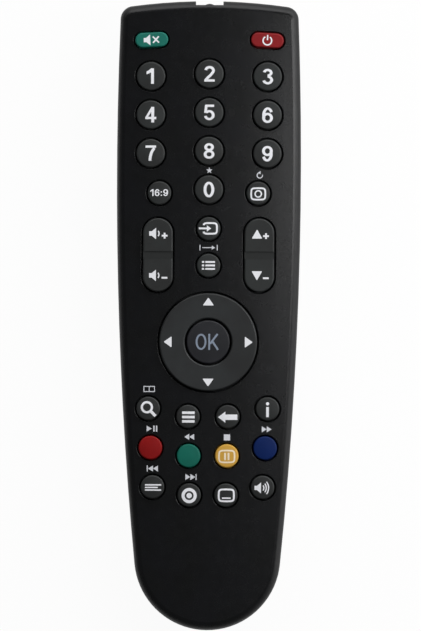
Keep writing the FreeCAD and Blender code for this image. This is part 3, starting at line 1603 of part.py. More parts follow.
def diode_leads():
    """The diode's two leads, which run back and then turn up through the board."""
    half = size("led_lead") / 2
    leads = []
    for way, side in SIDES:
        x = way * size("led_pitch") / 2
        run = box(
            f"diode_run_{side}",
            x - half,
            x + half,
            LED_LEAD_Y - half,
            LED_BACK_Y,
            LED_AXIS_Z - half,
            LED_AXIS_Z + half,
        )
        rise = box(
            f"diode_rise_{side}",
            x - half,
            x + half,
            LED_LEAD_Y - half,
            LED_LEAD_Y + half,
            LED_AXIS_Z - half,
            LEAD_TOP,
        )
        leads.append(fused(f"diode_lead_{side}", [run, rise]))
    return group("ir_led_leads", leads)


# The batteries and their contacts.


def battery(name, way):
    """A cell with its tip. way is 1 if the tip points to the head end and -1 if to the nose."""
    x = -way * size("cell_pitch") / 2
    if way > 0:
        tip_end = BAY_HIGH - size("plate_room")
        can_back, can_front = tip_end - size("cell_tip") - size("cell_length"), tip_end - size("cell_tip")
        tip_back, tip_front = can_front, tip_end
    else:
        tip_end = BAY_LOW + size("plate_room")
        can_back, can_front = tip_end + size("cell_tip"), tip_end + size("cell_tip") + size("cell_length")
        tip_back, tip_front = tip_end, can_back
    can = lying_cylinder(f"{name}_can", x, CELL_Z, can_back, can_front, size("cell_radius"))
    tip = lying_cylinder(f"{name}_tip", x, CELL_Z, tip_back, tip_front, size("cell_tip_radius"))
    return fused(name, [can, tip])


def spring_points(start_y, end_y, x):
    """Points and headings every quarter turn along a contact spring from its plate to its tip."""
    quarters = 4 * SPRING_TURNS
    foot, tip = VALUES["spring_foot"], VALUES["spring_tip"]
    found = []
    for step in range(quarters + 1):
        share = step / quarters
        angle = step * math.pi / 2
        radius = foot + (tip - foot) * share
        shrink = (tip - foot) / (quarters * math.pi / 2)
        rise = (end_y - start_y) / (quarters * math.pi / 2)
        point = FreeCAD.Vector(
            x + radius * math.cos(angle),
            start_y + (end_y - start_y) * share,
            CELL_Z.value + radius * math.sin(angle),
        )
        heading = FreeCAD.Vector(
            shrink * math.cos(angle) - radius * math.sin(angle),
            rise,
            shrink * math.sin(angle) + radius * math.cos(angle),
        ).normalize()
        found.append((point, heading))
    return found


def arc_from(start, heading, end):
    """The arc that leaves start along heading and reaches end."""
    chord = end - start
    middle_way = (heading + chord / chord.Length).normalize()
    half_turn = heading.getAngle(chord)
    middle = start + middle_way * (chord.Length / (2 * math.cos(half_turn / 2)))
    return Part.Arc(start, middle, end)


def two_arcs(first, second):
    """Two arcs that join smoothly and run from the first point and heading to the second."""
    (start, leaving), (end, arriving) = first, second
    span = end - start
    both = leaving + arriving
    spread = 2 * (1 - leaving.dot(arriving))
    reach = (math.sqrt(span.dot(both) ** 2 + spread * span.dot(span)) - span.dot(both)) / spread
    joint = (start + end + (leaving - arriving) * reach) / 2
    turned = ((joint - (start + leaving * reach)) / reach).normalize()
    return [arc_from(start, leaving, joint), arc_from(joint, turned, end)]


def least_gap(points, radius):
    """Least gap between a spring's turns: points on its middle line, compared across the turns."""
    apart = [
        (points[i] - points[j]).Length
        for i in range(len(points))
        for j in range(i + SPRING_STEPS // 2, len(points))
    ]
    return min(apart) - 2 * radius


def contact_spring(name, x, start_y, end_y):
    """A tapering contact spring between start_y, at its plate, and end_y, at the cell."""
    wire = VALUES["wire_radius"]
    way = math.copysign(wire, end_y.value - start_y.value)
    stations = spring_points(start_y.value + way, end_y.value - way, x.value)
    arcs = []
    for first, second in zip(stations, stations[1:]):
        arcs += two_arcs(first, second)
    path = Part.Wire([arc.toShape() for arc in arcs])
    along = path.discretize(Number=SPRING_TURNS * SPRING_STEPS)
    print(name, "least gap between turns", round(least_gap(along, wire), 2), "mm")
    spine = doc.addObject("Part::Feature", f"{name}_spine")
    spine.Shape = path
    start, heading = stations[0]
    section = doc.addObject("Part::Circle", f"{name}_section")
    bind(section, "Radius", size("wire_radius"))
    section.Placement = FreeCAD.Placement(start, FreeCAD.Rotation(FreeCAD.Vector(0, 0, 1), heading))
    sweep = doc.addObject("Part::Sweep", name)
    sweep.Sections = [section]
    sweep.Spine = (spine, [])
    sweep.Solid = True
    sweep.Frenet = False
    return sweep


def contact_plate(name, left, right, back):
    """A contact plate against an end wall of the bay."""
    return box(name, left, right, back, back + size("plate_room"), size("plate_low"), size("plate_high"))


def head_contact(name, way):
    """A plate at the bay's head end with a tab that goes up through the tray's roof into the board."""
    near, far = size("plate_middle_gap"), BAY_HALF - size("plate_side_gap")
    left, right = (near, far) if way > 0 else (-far, -near)
    back = BAY_HIGH - size("plate_room")
    half = size("tab_width") / 2
    plate = contact_plate(f"{name}_plate", left, right, back)
    tab = box(
        f"{name}_tab",
        way * TAB_X - half,
        way * TAB_X + half,
        back,
        BAY_HIGH,
        size("plate_high") - size("tab_width"),
        BOARD_TOP - size("tab_short"),
    )
    return plate, tab


def positive_contact():
    """The plain plate that the left cell's tip touches."""
    return fused("positive_contact", head_contact("positive", -1))


def negative_contact():
    """The plate with the spring that presses on the right cell's flat end."""
    whole = fused("negative_metal", head_contact("negative", 1))
    face = BAY_HIGH - size("plate_room")
    spring = contact_spring("negative_spring", size("cell_pitch") / 2, face, face - size("spring_room"))
    return group("negative_contact", [whole, spring])


def bridge_contact():
    """The plate at the bay's nose end that joins both cells, with a spring for the left one."""
    reach = BAY_HALF - size("plate_side_gap")
    plate = contact_plate("bridge_plate", -reach, reach, BAY_LOW)
    face = BAY_LOW + size("plate_room")
    spring = contact_spring("bridge_spring", -size("cell_pitch") / 2, face, face + size("spring_room"))
    return group("bridge_contact", [plate, spring])


def case_screw():
    """The case screw: a head with a cross recess, a shank and a pointed end."""
    head_low = size("screw_seat") - size("screw_head_high")
    shank_top = SCREW_TOP - size("screw_point")
    head = cylinder("screw_head_disc", 0, SCREW_Y, head_low, size("screw_seat"), size("screw_head"))
    shank = cylinder("screw_shank", 0, SCREW_Y, size("screw_seat"), shank_top, size("screw_radius"))
    point = cone("screw_end", 0, SCREW_Y, shank_top, SCREW_TOP, size("screw_radius"), size("screw_tip"))
    reach, half = size("cross_reach"), size("cross_width") / 2
    top = head_low + size("cross_depth")
    cross = fused(
        "screw_cross",
        [
            box("cross_wide", -reach, reach, SCREW_Y - half, SCREW_Y + half, head_low - 1, top),
            box("cross_tall", -half, half, SCREW_Y - reach, SCREW_Y + reach, head_low - 1, top),
        ],
    )
    return cut("case_screw", fused("screw_whole", [head, shank, point]), cross)


# The whole remote control.


def build_nodes():
    """Makes every sub-part and returns them in order."""
    form = rear_form()
    nodes = [front_shell(), rear_shell(form), battery_door(form)]
    nodes += [round_key(key) for key in ROUND_KEYS + [CONFIRM_KEY]]
    nodes += [bar_key(key, lean) for key, lean in BAR_KEYS]
    nodes += [rocker_key(key) for key in ROCKER_KEYS]
    nodes += [navigation_ring(), ring_pad(), keypad_mat(), circuit_board(), contact_pads()]
    nodes += [controller_chip(), chip_leads(), resonator(), capacitor(), smd_passives()]
    nodes += [drive_transistor(), infrared_diode(), diode_leads()]
    nodes += [battery("battery_left", 1), battery("battery_right", -1)]
    nodes += [positive_contact(), negative_contact(), bridge_contact(), case_screw()]
    return nodes


def check(nodes):
    """Stops at an object that failed or at a sub-part without a sound shape."""
    for item in doc.Objects:
        if {"Invalid", "Error"} & set(item.State):
            raise RuntimeError(f"{item.Name} failed: {item.State}")
    for node in nodes:
        shape = node.Shape
        if shape.isNull() or not shape.isValid() or not shape.Solids or shape.Volume <= 0:
            raise RuntimeError(f"{node.Label} has no sound shape")


def main():
    """Builds the sub-parts, checks them and writes each one to its file."""
    write_sheet()
    nodes = build_nodes()
    doc.recompute()
    check(nodes)
    os.makedirs("parts", exist_ok=True)
    for node in nodes:
        node.Shape.exportStep(f"parts/{node.Label}.step")
        print(node.Label, len(node.Shape.Solids), round(node.Shape.Volume, 3))


main()
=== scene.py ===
"""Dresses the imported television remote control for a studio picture.

The remote lies on its back on a pale floor, its head end towards +Y, and the camera looks straight
down on its key face. Every mould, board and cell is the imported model's own; this script paints them,
prints the key legends, and makes the rubber mat and the ring's rubber pad as soft pieces.
Sizes in the classes are in millimetres.
"""

from __future__ import annotations

import logging
import math
from collections.abc import Sequence
from dataclasses import dataclass, field
from enum import Enum
from typing import Any, Protocol

import bmesh
import bpy
import numpy as np
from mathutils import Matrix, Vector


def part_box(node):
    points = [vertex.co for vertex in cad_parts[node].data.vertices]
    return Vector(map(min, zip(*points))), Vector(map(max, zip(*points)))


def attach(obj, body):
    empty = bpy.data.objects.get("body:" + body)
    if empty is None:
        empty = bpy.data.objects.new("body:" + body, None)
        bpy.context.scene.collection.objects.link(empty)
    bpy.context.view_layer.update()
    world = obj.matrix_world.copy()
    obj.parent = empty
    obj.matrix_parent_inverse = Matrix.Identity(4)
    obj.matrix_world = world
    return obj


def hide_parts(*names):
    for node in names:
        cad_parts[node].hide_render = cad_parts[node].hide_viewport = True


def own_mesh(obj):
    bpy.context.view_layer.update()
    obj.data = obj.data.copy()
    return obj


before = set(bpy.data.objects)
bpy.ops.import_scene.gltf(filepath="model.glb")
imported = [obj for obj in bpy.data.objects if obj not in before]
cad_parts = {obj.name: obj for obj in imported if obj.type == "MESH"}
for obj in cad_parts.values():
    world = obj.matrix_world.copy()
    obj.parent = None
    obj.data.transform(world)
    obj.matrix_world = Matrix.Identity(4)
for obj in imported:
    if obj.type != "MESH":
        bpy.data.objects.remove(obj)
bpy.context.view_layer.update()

LOG = logging.getLogger("remote")
MM = 0.001
CASE = "case"
ROCKERS = ("key_volume", "key_programme")
NEAR = 1e-7  # Metres within which two points are one.
WELD = 2e-6  # Metres within which the corners of packed triangles are one.
Colour = tuple[int, int, int]
Point = tuple[float, float]


# Shader arithmetic.


def linear(colour: Colour) -> tuple[float, float, float, float]:
    """Turns a screen colour, 0 to 255, into the shader's linear colour.

    Args:
        colour: red, green and blue as a screen shows them.

    Returns:
        The same colour in linear light, with full alpha.
    """
    share = np.array(colour, float) / 255
    light = np.where(share <= 0.04045, share / 12.92, ((share + 0.055) / 1.055) ** 2.4)
    return (*light.tolist(), 1.0)


class Term:
    """A number in a shader: arithmetic on it adds Math nodes to its painter's tree."""

    def __init__(self, painter: Painter, socket: bpy.types.NodeSocket) -> None:
        """Wraps one output socket of the painter's tree."""
        self.painter = painter
        self.socket = socket

    def __add__(self, other: Any) -> Term:
        """Sum."""
        return self.painter.math("ADD", self, other)

    def __radd__(self, other: Any) -> Term:
        """Sum, with the plain number first."""
        return self.painter.math("ADD", other, self)

    def __sub__(self, other: Any) -> Term:
        """Difference."""
        return self.painter.math("SUBTRACT", self, other)

    def __rsub__(self, other: Any) -> Term:
        """Difference, with the plain number first."""
        return self.painter.math("SUBTRACT", other, self)

    def __mul__(self, other: Any) -> Term:
        """Product."""
        return self.painter.math("MULTIPLY", self, other)

    def __rmul__(self, other: Any) -> Term:
        """Product, with the plain number first."""
        return self.painter.math("MULTIPLY", other, self)

    def __truediv__(self, other: Any) -> Term:
        """Quotient."""
        return self.painter.math("DIVIDE", self, other)

    def __rtruediv__(self, other: Any) -> Term:
        """Quotient, with the plain number first."""
        return self.painter.math("DIVIDE", other, self)

    def __abs__(self) -> Term:
        """Size without sign."""
        return self.painter.math("ABSOLUTE", self)

    def ramp(self, low: float, high: float) -> Term:
        """Rises smoothly from 0 to 1.

        Args:
            low: where it is still 0.
            high: where it has reached 1; below low, the ramp falls instead.

        Returns:
            The smooth step of this value.
        """
        start, end = (0.0, 1.0) if low < high else (1.0, 0.0)
        settings = {"interpolation_type": "SMOOTHSTEP"}
        inputs = {0: self, 1: min(low, high), 2: max(low, high), 3: start, 4: end}
        return self.painter.node("ShaderNodeMapRange", settings, inputs).term()

    def band(self, middle: float, half: float, soft: float) -> Term:
        """Is 1 inside a band and 0 outside it.

        Args:
            middle: the middle of the band.
            half: half its width.
            soft: the width of its soft edge.

        Returns:
            The band as a term from 0 to 1.
        """
        return abs(self - middle).ramp(half + soft, half)


@dataclass
class Added:
    """A node that a painter has just added."""

    painter: Painter
    node: bpy.types.Node

    def out(self, output: int | str = 0) -> bpy.types.NodeSocket:
        """One of its outputs."""
        return self.node.outputs[output]

    def term(self, output: int | str = 0) -> Term:
        """One of its outputs as a number."""
        return Term(self.painter, self.out(output))


class Painter:
    """The node tree of one material, round its Principled shader."""

    def __init__(self, name: str) -> None:
        """Starts a material.

        Args:
            name: the material's name.
        """
        self.material = bpy.data.materials.new(name)
        self.material.use_nodes = True
        self.tree = self.material.node_tree
        self.shader = self.tree.nodes["Principled BSDF"]
        self._place: bpy.types.NodeSocket | None = None

    def node(self, kind: str, settings: dict[str, Any], inputs: dict[int | str, Any]) -> Added:
        """Adds a node of any kind.

        Args:
            kind: the node's type.
            settings: its own settings by name.
            inputs: terms, sockets or constants by input name or number.

        Returns:
            The node, with its inputs linked or set.
        """
        made = self.tree.nodes.new(kind)
        for name, value in settings.items():
            setattr(made, name, value)
        for key, value in inputs.items():
            socket = made.inputs[key]
            if isinstance(value, Term):
                self.tree.links.new(value.socket, socket)
            elif isinstance(value, bpy.types.NodeSocket):
                self.tree.links.new(value, socket)
            else:
                socket.default_value = value
        return Added(self, made)

    def math(self, operation: str, *values: Any) -> Term:
        """Adds one Math node.

        Args:
            operation: the node's operation.
            values: its inputs in order, as terms or plain numbers.

        Returns:
            The node's result.
        """
        return self.node("ShaderNodeMath", {"operation": operation}, dict(enumerate(values))).term()

    @property
    def place(self) -> bpy.types.NodeSocket:
        """The point on the piece in metres."""
        if self._place is None:
            self._place = self.node("ShaderNodeTexCoord", {}, {}).out("Object")
        return self._place

    def axis(self, number: int) -> Term:
        """One coordinate of the point in millimetres: 0 for X, 1 for Y and 2 for Z."""
        return self.node("ShaderNodeSeparateXYZ", {}, {0: self.place}).term(number) * (1 / MM)

    def noise(self, size: float, detail: float = 2.0, seed: float = 0.0) -> Term:
        """Even noise round 0.5.

        Args:
            size: size of one blotch in millimetres.
            detail: how many finer layers it has.
            seed: shifts the pattern, so that two noises differ.

        Returns:
            The noise as a term from 0 to 1.
        """
        inputs = {"Vector": self.place, "W": seed, "Scale": 1 / (size * MM), "Detail": detail}
        return self.node("ShaderNodeTexNoise", {"noise_dimensions": "4D"}, inputs).term("Fac")

    def mix(self, share: Term, first: Any, second: Any) -> bpy.types.NodeSocket:
        """Blends two colours.

        Args:
            share: 0 gives the first colour and 1 the second.
            first: a screen colour or a colour socket.
            second: a screen colour or a colour socket.

        Returns:
            The blended colour.
        """
        ends = [linear(end) if isinstance(end, tuple) else end for end in (first, second)]
        inputs = {0: share, 6: ends[0], 7: ends[1]}
        return self.node("ShaderNodeMix", {"data_type": "RGBA"}, inputs).out(2)

    def set(self, **constants: Any) -> None:
        """Sets inputs of the shader that are the same all over, by name with _ for a space."""
        for name, value in constants.items():
            self.shader.inputs[name.replace("_", " ")].default_value = value

    def feed(self, name: str, value: Any) -> None:
        """Links a term or socket to the shader's input of that name."""
        source = value.socket if isinstance(value, Term) else value
        self.tree.links.new(source, self.shader.inputs[name])

    def relief(self, height: Term, depth: float) -> None:
        """Bumps the surface.

        Args:
            height: the relief, from 0 to 1.
            depth: how many millimetres 1 stands for.
        """
        inputs = {"Strength": 1.0, "Distance": depth * MM, "Height": height}
        self.feed("Normal", self.node("ShaderNodeBump", {}, inputs).out("Normal"))


# Finishes.


def scaled(colour: Colour, share: float) -> Colour:
    """The same screen colour, lighter or darker by a share."""
    red, green, blue = (round(level * share) for level in colour)
    return red, green, blue


@dataclass(frozen=True)
class Finish:
    """A finish: a name, and a way to paint it."""

    name: str

    def make(self) -> bpy.types.Material:
        """Makes the material.

        Returns:
            The material, painted.
        """
        paint = Painter(self.name)
        self.lay_on(paint)
        return paint.material

    def lay_on(self, paint: Painter) -> None:
        """Paints the finish.

        Args:
            paint: the painter of its material.
        """
        raise NotImplementedError


@dataclass(frozen=True)
class Moulded(Finish):
    """Plastic or rubber from a mould with a fine sparked grain.

    The colour wanders a little in soft blotches, and the roughness in smaller ones. A parting line
    gives a thin dark groove at that height, and a waist is a band across Y whose colour is a little
    darker: painted shade of the sunk waist. What lies below a crown, such as the rim and the edges
    of the holes, is duller. The depth below it is its top less Z, less X squared over twice its
    radius. The groove's depth is in grains, the waist's shade share is the share of the colour's
    lightness that the painted shade keeps, the dullness is how much roughness the rim has over the
    face's, and it sets in over the rim's depth.
    """

    colour: Colour
    roughness: float = 0.5
    grain: float = 0.22
    depth: float = 0.012
    mottle: float = 0.12
    specular: float = 0.5
    sheen: float = 0.0
    parting: float | None = None
    waist: tuple[float, float] | None = None
    crown: Crown | None = None
    wander: float = 0.1
    blotch: float = 9.0
    spot: float = 2.6
    groove_depth: float = 12.0
    groove_colour: Colour = (4, 4, 4)
    waist_share: float = 0.86
    dullness: float = 0.22
    rim: float = 0.3

    def lay_on(self, paint: Painter) -> None:
        """Paints the finish.

        Args:
            paint: the painter of its material.
        """
        blotch = paint.noise(self.blotch, detail=4.0).ramp(0.3, 0.7)
        low, high = (scaled(self.colour, 1 + way * self.mottle) for way in (-1, 1))
        colour = paint.mix(blotch, low, high)
        height = paint.noise(self.grain, detail=3.0, seed=2.0)
        if self.parting is not None:
            groove = paint.axis(2).band(self.parting, half=0.1, soft=0.08)
            colour = paint.mix(groove, colour, self.groove_colour)
            height = height - groove * self.groove_depth
        if self.waist is not None:
            # Painted shade: the sunk waist band's colour is made darker by the waist's shade share.
            middle, half = self.waist
            band = paint.axis(1).band(middle, half, soft=0.25)
            colour = paint.mix(band, colour, scaled(self.colour, self.waist_share))
        paint.feed("Base Color", colour)
        spots = paint.noise(self.spot, detail=3.0, seed=5.0)
        roughness = self.roughness + self.wander * (spots - 0.5)
        if self.crown is not None:
            across = paint.axis(0)
            below = self.crown.top - paint.axis(2) - across * across / (2 * self.crown.radius)
            roughness = roughness + self.dullness * below.ramp(0.0, self.rim)
        paint.feed("Roughness", roughness)
        paint.relief(height, self.depth)
        paint.set(Specular_IOR_Level=self.specular, Sheen_Weight=self.sheen, Sheen_Roughness=0.5)


@dataclass(frozen=True)
class Ink(Finish):
    """Screen-printed ink: a thin even film with a faint speckle where it takes the grain."""

    colour: Colour
    roughness: float = 0.55
    wander: float = 0.12
    dim: float = 0.93

    def lay_on(self, paint: Painter) -> None:
        """Paints the finish.

        Args:
            paint: the painter of its material.
        """
        speckle = paint.noise(0.3, detail=3.0, seed=1.0)
        paint.feed("Base Color", paint.mix(speckle, scaled(self.colour, self.dim), self.colour))
        paint.feed("Roughness", self.roughness + self.wander * (speckle - 0.5))
        paint.relief(speckle, depth=0.006)
        paint.set(Specular_IOR_Level=0.3)


@dataclass(frozen=True)
class Metal(Finish):
    """Plated or tinned metal with fine drawn lines and dull patches."""

    colour: Colour
    roughness: float = 0.3
    grain: float = 0.15
    dark: float = 0.8
    dullness: float = 0.18

    def lay_on(self, paint: Painter) -> None:
        """Paints the finish.

        Args:
            paint: the painter of its material.
        """
        dull = paint.noise(1.8, detail=4.0, seed=3.0).ramp(0.35, 0.75)
        paint.feed("Base Color", paint.mix(dull, self.colour, scaled(self.colour, self.dark)))
        paint.feed("Roughness", self.roughness + self.dullness * dull)
        paint.relief(paint.noise(self.grain), depth=0.004)
        paint.set(Metallic=1.0)


@dataclass(frozen=True)
class Laminate(Finish):
    """Circuit board: green solder mask over copper tracks on a grid, the cut edge paler."""

    mask: Colour = (16, 66, 38)
    track: Colour = (30, 98, 54)
    edge: Colour = (118, 112, 70)
    pitch: float = 1.27
    low: float = 14.6
    high: float = 15.8

    def lay_on(self, paint: Painter) -> None:
        """Paints the finish.

        Args:
            paint: the painter of its material.
        """
        x, y, z = (paint.axis(number) for number in range(3))
        across, along = (
            paint.math("FRACT", step / self.pitch).band(0.5, half=0.14, soft=0.06) for step in (x, y)
        )
        area = paint.noise(7.0, detail=1.0, seed=2.0).ramp(0.49, 0.51)
        tracks = across * area + along * (1 - area)
        bare = z.band((self.low + self.high) / 2, (self.high - self.low) / 2 - 0.06, soft=0.02)
        colour = paint.mix(tracks, self.mask, self.track)
        paint.feed("Base Color", paint.mix(bare, colour, self.edge))
        paint.feed("Roughness", 0.28 + 0.4 * bare)
        paint.relief(tracks + paint.noise(0.5) * 0.2, depth=0.03)


@dataclass(frozen=True)
class Resin(Finish):
    """The diode's cast resin: deep and smooth, with faint flow marks."""

    colour: Colour = (8, 7, 10)
    deep: float = 0.6

    def lay_on(self, paint: Painter) -> None:
        """Paints the finish.

        Args:
            paint: the painter of its material.
        """
        flow = paint.noise(1.2, seed=4.0)
        paint.feed("Base Color", paint.mix(flow, scaled(self.colour, self.deep), self.colour))
        paint.feed("Roughness", 0.12 + 0.08 * flow)
        paint.relief(flow, depth=0.01)
        paint.set(Specular_IOR_Level=0.12)


@dataclass(frozen=True)
class CellWrap(Finish):
    """A battery's printed sleeve between its bare steel ends.

    The sleeve covers the can between two distances from the cell's lower end, and its last stretch
    towards the positive tip is a second colour.
    """

    start: float
    way: int
    length: float = 43.4
    colour: Colour = (38, 74, 104)
    cap: Colour = (186, 188, 190)
    can: Colour = (176, 176, 172)
    cap_length: float = 9.0
    rule_at: float = 10.2
    hem: float = 0.7

    def lay_on(self, paint: Painter) -> None:
        """Paints the finish.

        Args:
            paint: the painter of its material.
        """
        along = (paint.axis(1) - self.start) * self.way
        sleeve = along.band(self.length / 2, self.length / 2 - self.hem, soft=0.05)
        cap = along.ramp(self.length - self.cap_length, self.length - self.cap_length + 0.1)
        rule = along.band(self.length - self.rule_at, half=0.35, soft=0.05)
        printed = paint.mix(cap + rule, self.colour, self.cap)
        paint.feed("Base Color", paint.mix(sleeve, self.can, printed))
        paint.feed("Metallic", 1 - sleeve)
        paint.feed("Roughness", 0.3 + 0.1 * paint.noise(2.0, detail=3.0))
        ends = (self.hem, self.length - self.hem)
        low_edge, high_edge = (along.band(end, half=0.15, soft=0.1) for end in ends)
        paint.relief(low_edge + high_edge + paint.noise(0.6) * 0.15, depth=0.05)
        paint.set(Coat_Roughness=0.15)


# Surfaces that prints lie on.


class Surface(Protocol):
    """A surface that gives its height over any point of the plan."""

    def height(self, plan: np.ndarray) -> np.ndarray:
        """Heights in millimetres over points given as rows of X and Y."""


@dataclass(frozen=True)
class Level:
    """A flat top at one height."""

    top: float

    def height(self, plan: np.ndarray) -> np.ndarray:
        """The same height everywhere."""
        return np.full(len(plan), self.top)


@dataclass(frozen=True)
class Crown:
    """The front shell's face: a cylinder along Y, highest over the middle."""

    top: float = 23.0
    radius: float = 400.0

    def height(self, plan: np.ndarray) -> np.ndarray:
        """The top less the cylinder's fall: radius minus the root of radius squared less X squared."""
        return self.top - self.radius + np.sqrt(self.radius**2 - plan[:, 0] ** 2)


@dataclass(frozen=True)
class Dome:
    """A key's top: a shallow ball cap round the key's middle."""

    middle: Point
    top: float
    reach: float
    rise: float = 0.15

    def height(self, plan: np.ndarray) -> np.ndarray:
        """The top less the ball's fall at the distance from the middle.

        Args:
            plan: rows of X and Y.

        Returns:
            The height over each.
        """
        ball = (self.reach**2 + self.rise**2) / (2 * self.rise)
        away = ((plan - np.array(self.middle)) ** 2).sum(1)
        return self.top - ball + np.sqrt(ball**2 - away)


# Meshes.


def ring_faces(rings: int, around: int, first: int = 0, close: bool = False) -> list[list[int]]:
    """Quads between neighbouring rings of points.

    Args:
        rings: how many rings there are.
        around: points in each ring.
        first: number of the first point.
        close: whether the last ring joins the first.

    Returns:
        The quads as point numbers.
    """
    last = rings if close else rings - 1
    step, turn = np.meshgrid(np.arange(last), np.arange(around), indexing="ij")
    after, on = (step + 1) % rings, (turn + 1) % around
    corners = ((step, turn), (step, on), (after, on), (after, turn))
    quads = np.stack([ring * around + point for ring, point in corners], -1)
    return (quads.reshape(-1, 4) + first).tolist()


def opened(mesh: bpy.types.Mesh) -> Any:
    """A mesh as a form that can be edited."""
    form = bmesh.new()
    form.from_mesh(mesh)
    return form


def closed(form: Any, mesh: bpy.types.Mesh) -> None:
    """Writes an edited form into a mesh and lets go of it."""
    form.to_mesh(mesh)
    form.free()


def linked(name: str, data: bpy.types.ID) -> bpy.types.Object:
    """Puts a mesh, a lamp or a camera into the scene as a new object.

    Args:
        name: the object's name.
        data: what it holds.

    Returns:
        The new object.
    """
    made = bpy.data.objects.new(name, data)
    bpy.context.scene.collection.objects.link(made)
    return made


def show(
    name: str, mesh: bpy.types.Mesh, material: bpy.types.Material, crease: float = 35.0
) -> bpy.types.Object:
    """Links a mesh to the scene with smooth faces.

    Args:
        name: the piece's name.
        mesh: its mesh.
        material: what it is made of.
        crease: edges sharper than this many degrees stay sharp.

    Returns:
        The new object.
    """
    mesh.materials.append(material)
    mesh.shade_smooth()
    mesh.set_sharp_from_angle(angle=math.radians(crease))
    return linked(name, mesh)


def turned(
    name: str, middle: Point, profile: Sequence[Point], material: bpy.types.Material, around: int = 48
) -> bpy.types.Object:
    """Turns a closed profile about an upright axis.

    The point at step s of the profile and turn t stands at the middle plus the profile's radius
    times the cosine and sine of t, at the profile's height.

    Args:
        name: the piece's name.
        middle: where the axis stands.
        profile: radius and height of each corner, in order round the section.
        material: what it is made of.
        around: points in each ring.

    Returns:
        The new object.
    """
    section = np.array(profile, float)
    angle = np.linspace(0, 2 * math.pi, around, endpoint=False)
    x = middle[0] + section[:, :1] * np.cos(angle)
    y = middle[1] + section[:, :1] * np.sin(angle)
    z = np.broadcast_to(section[:, 1:], x.shape)
    points = np.stack([x, y, z], -1).reshape(-1, 3)
    mesh = bpy.data.meshes.new(name)
    mesh.from_pydata((points * MM).tolist(), [], ring_faces(len(section), around, close=True))
    form = opened(mesh)
    bmesh.ops.remove_doubles(form, verts=form.verts, dist=NEAR)
    bmesh.ops.recalc_face_normals(form, faces=form.faces)
    closed(form, mesh)
    return show(name, mesh, material)


def merged_copy(node: str) -> Any:
    """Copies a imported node's shape with its loose triangles joined.

    Args:
        node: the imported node.

    Returns:
        The copy as a form.
    """
    form = opened(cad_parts[node].data)
    bmesh.ops.remove_doubles(form, verts=form.verts, dist=WELD)
    return form


# Prints.


def arc(
    x: float, y: float, across: float, along: float, start: float, end: float, steps: int = 25
) -> np.ndarray:
    """Points on an ellipse's arc.

    Args:
        x: its middle.
        y: its middle.
        across: its half width.
        along: its half height.
        start: first angle in degrees, anticlockwise from the right.
        end: last angle in degrees.
        steps: how many points.

    Returns:
        Rows of X and Y.
    """
    angle = np.radians(np.linspace(start, end, steps))
    return np.stack([x + across * np.cos(angle), y + along * np.sin(angle)], -1)


def screen(
    across: float, along: float, start: float = 0.0, end: float = 360.0, bulge: float = 0.07
) -> np.ndarray:
    """A picture tube's outline.

    Each coordinate is the cosine or sine to the power 2 / 7, which makes a box with round corners.
    Each side then swells by the bulge times one less the square of the other coordinate.

    Args:
        across: its half width.
        along: its half height.
        start: first angle in degrees.
        end: last angle in degrees.
        bulge: how far the sides swell, as a share of the half size.

    Returns:
        Rows of X and Y.
    """
    angle = np.radians(np.linspace(start, end, 97))
    wave = np.stack([np.cos(angle), np.sin(angle)], -1)
    box = np.sign(wave) * np.abs(wave) ** (2 / 7)
    return box * (1 - bulge * box[:, ::-1] ** 2) * np.array([across, along])


def spin(turn: float) -> np.ndarray:
    """The matrix that turns rows of X and Y anticlockwise by that many degrees."""
    way = math.radians(turn)
    return np.array([[math.cos(way), math.sin(way)], [-math.sin(way), math.cos(way)]])


def softened(corners: Sequence[Point], radius: float, steps: int = 6) -> np.ndarray:
    """Rounds the corners of a closed outline.

    Each corner becomes a quadratic curve that starts and ends one radius away from it.

    Args:
        corners: the outline's corners.
        radius: how far from a corner its curve starts.
        steps: points in each curve.

    Returns:
        Rows of X and Y round the outline.
    """
    corner = np.array(corners, float)
    before, after = np.roll(corner, 1, 0) - corner, np.roll(corner, -1, 0) - corner
    near = corner + radius * before / np.linalg.norm(before, axis=1, keepdims=True)
    far = corner + radius * after / np.linalg.norm(after, axis=1, keepdims=True)
    t = np.linspace(0, 1, steps)[None, :, None]
    curve = (1 - t) ** 2 * near[:, None] + 2 * t * (1 - t) * corner[:, None] + t**2 * far[:, None]
    return curve.reshape(-1, 2)


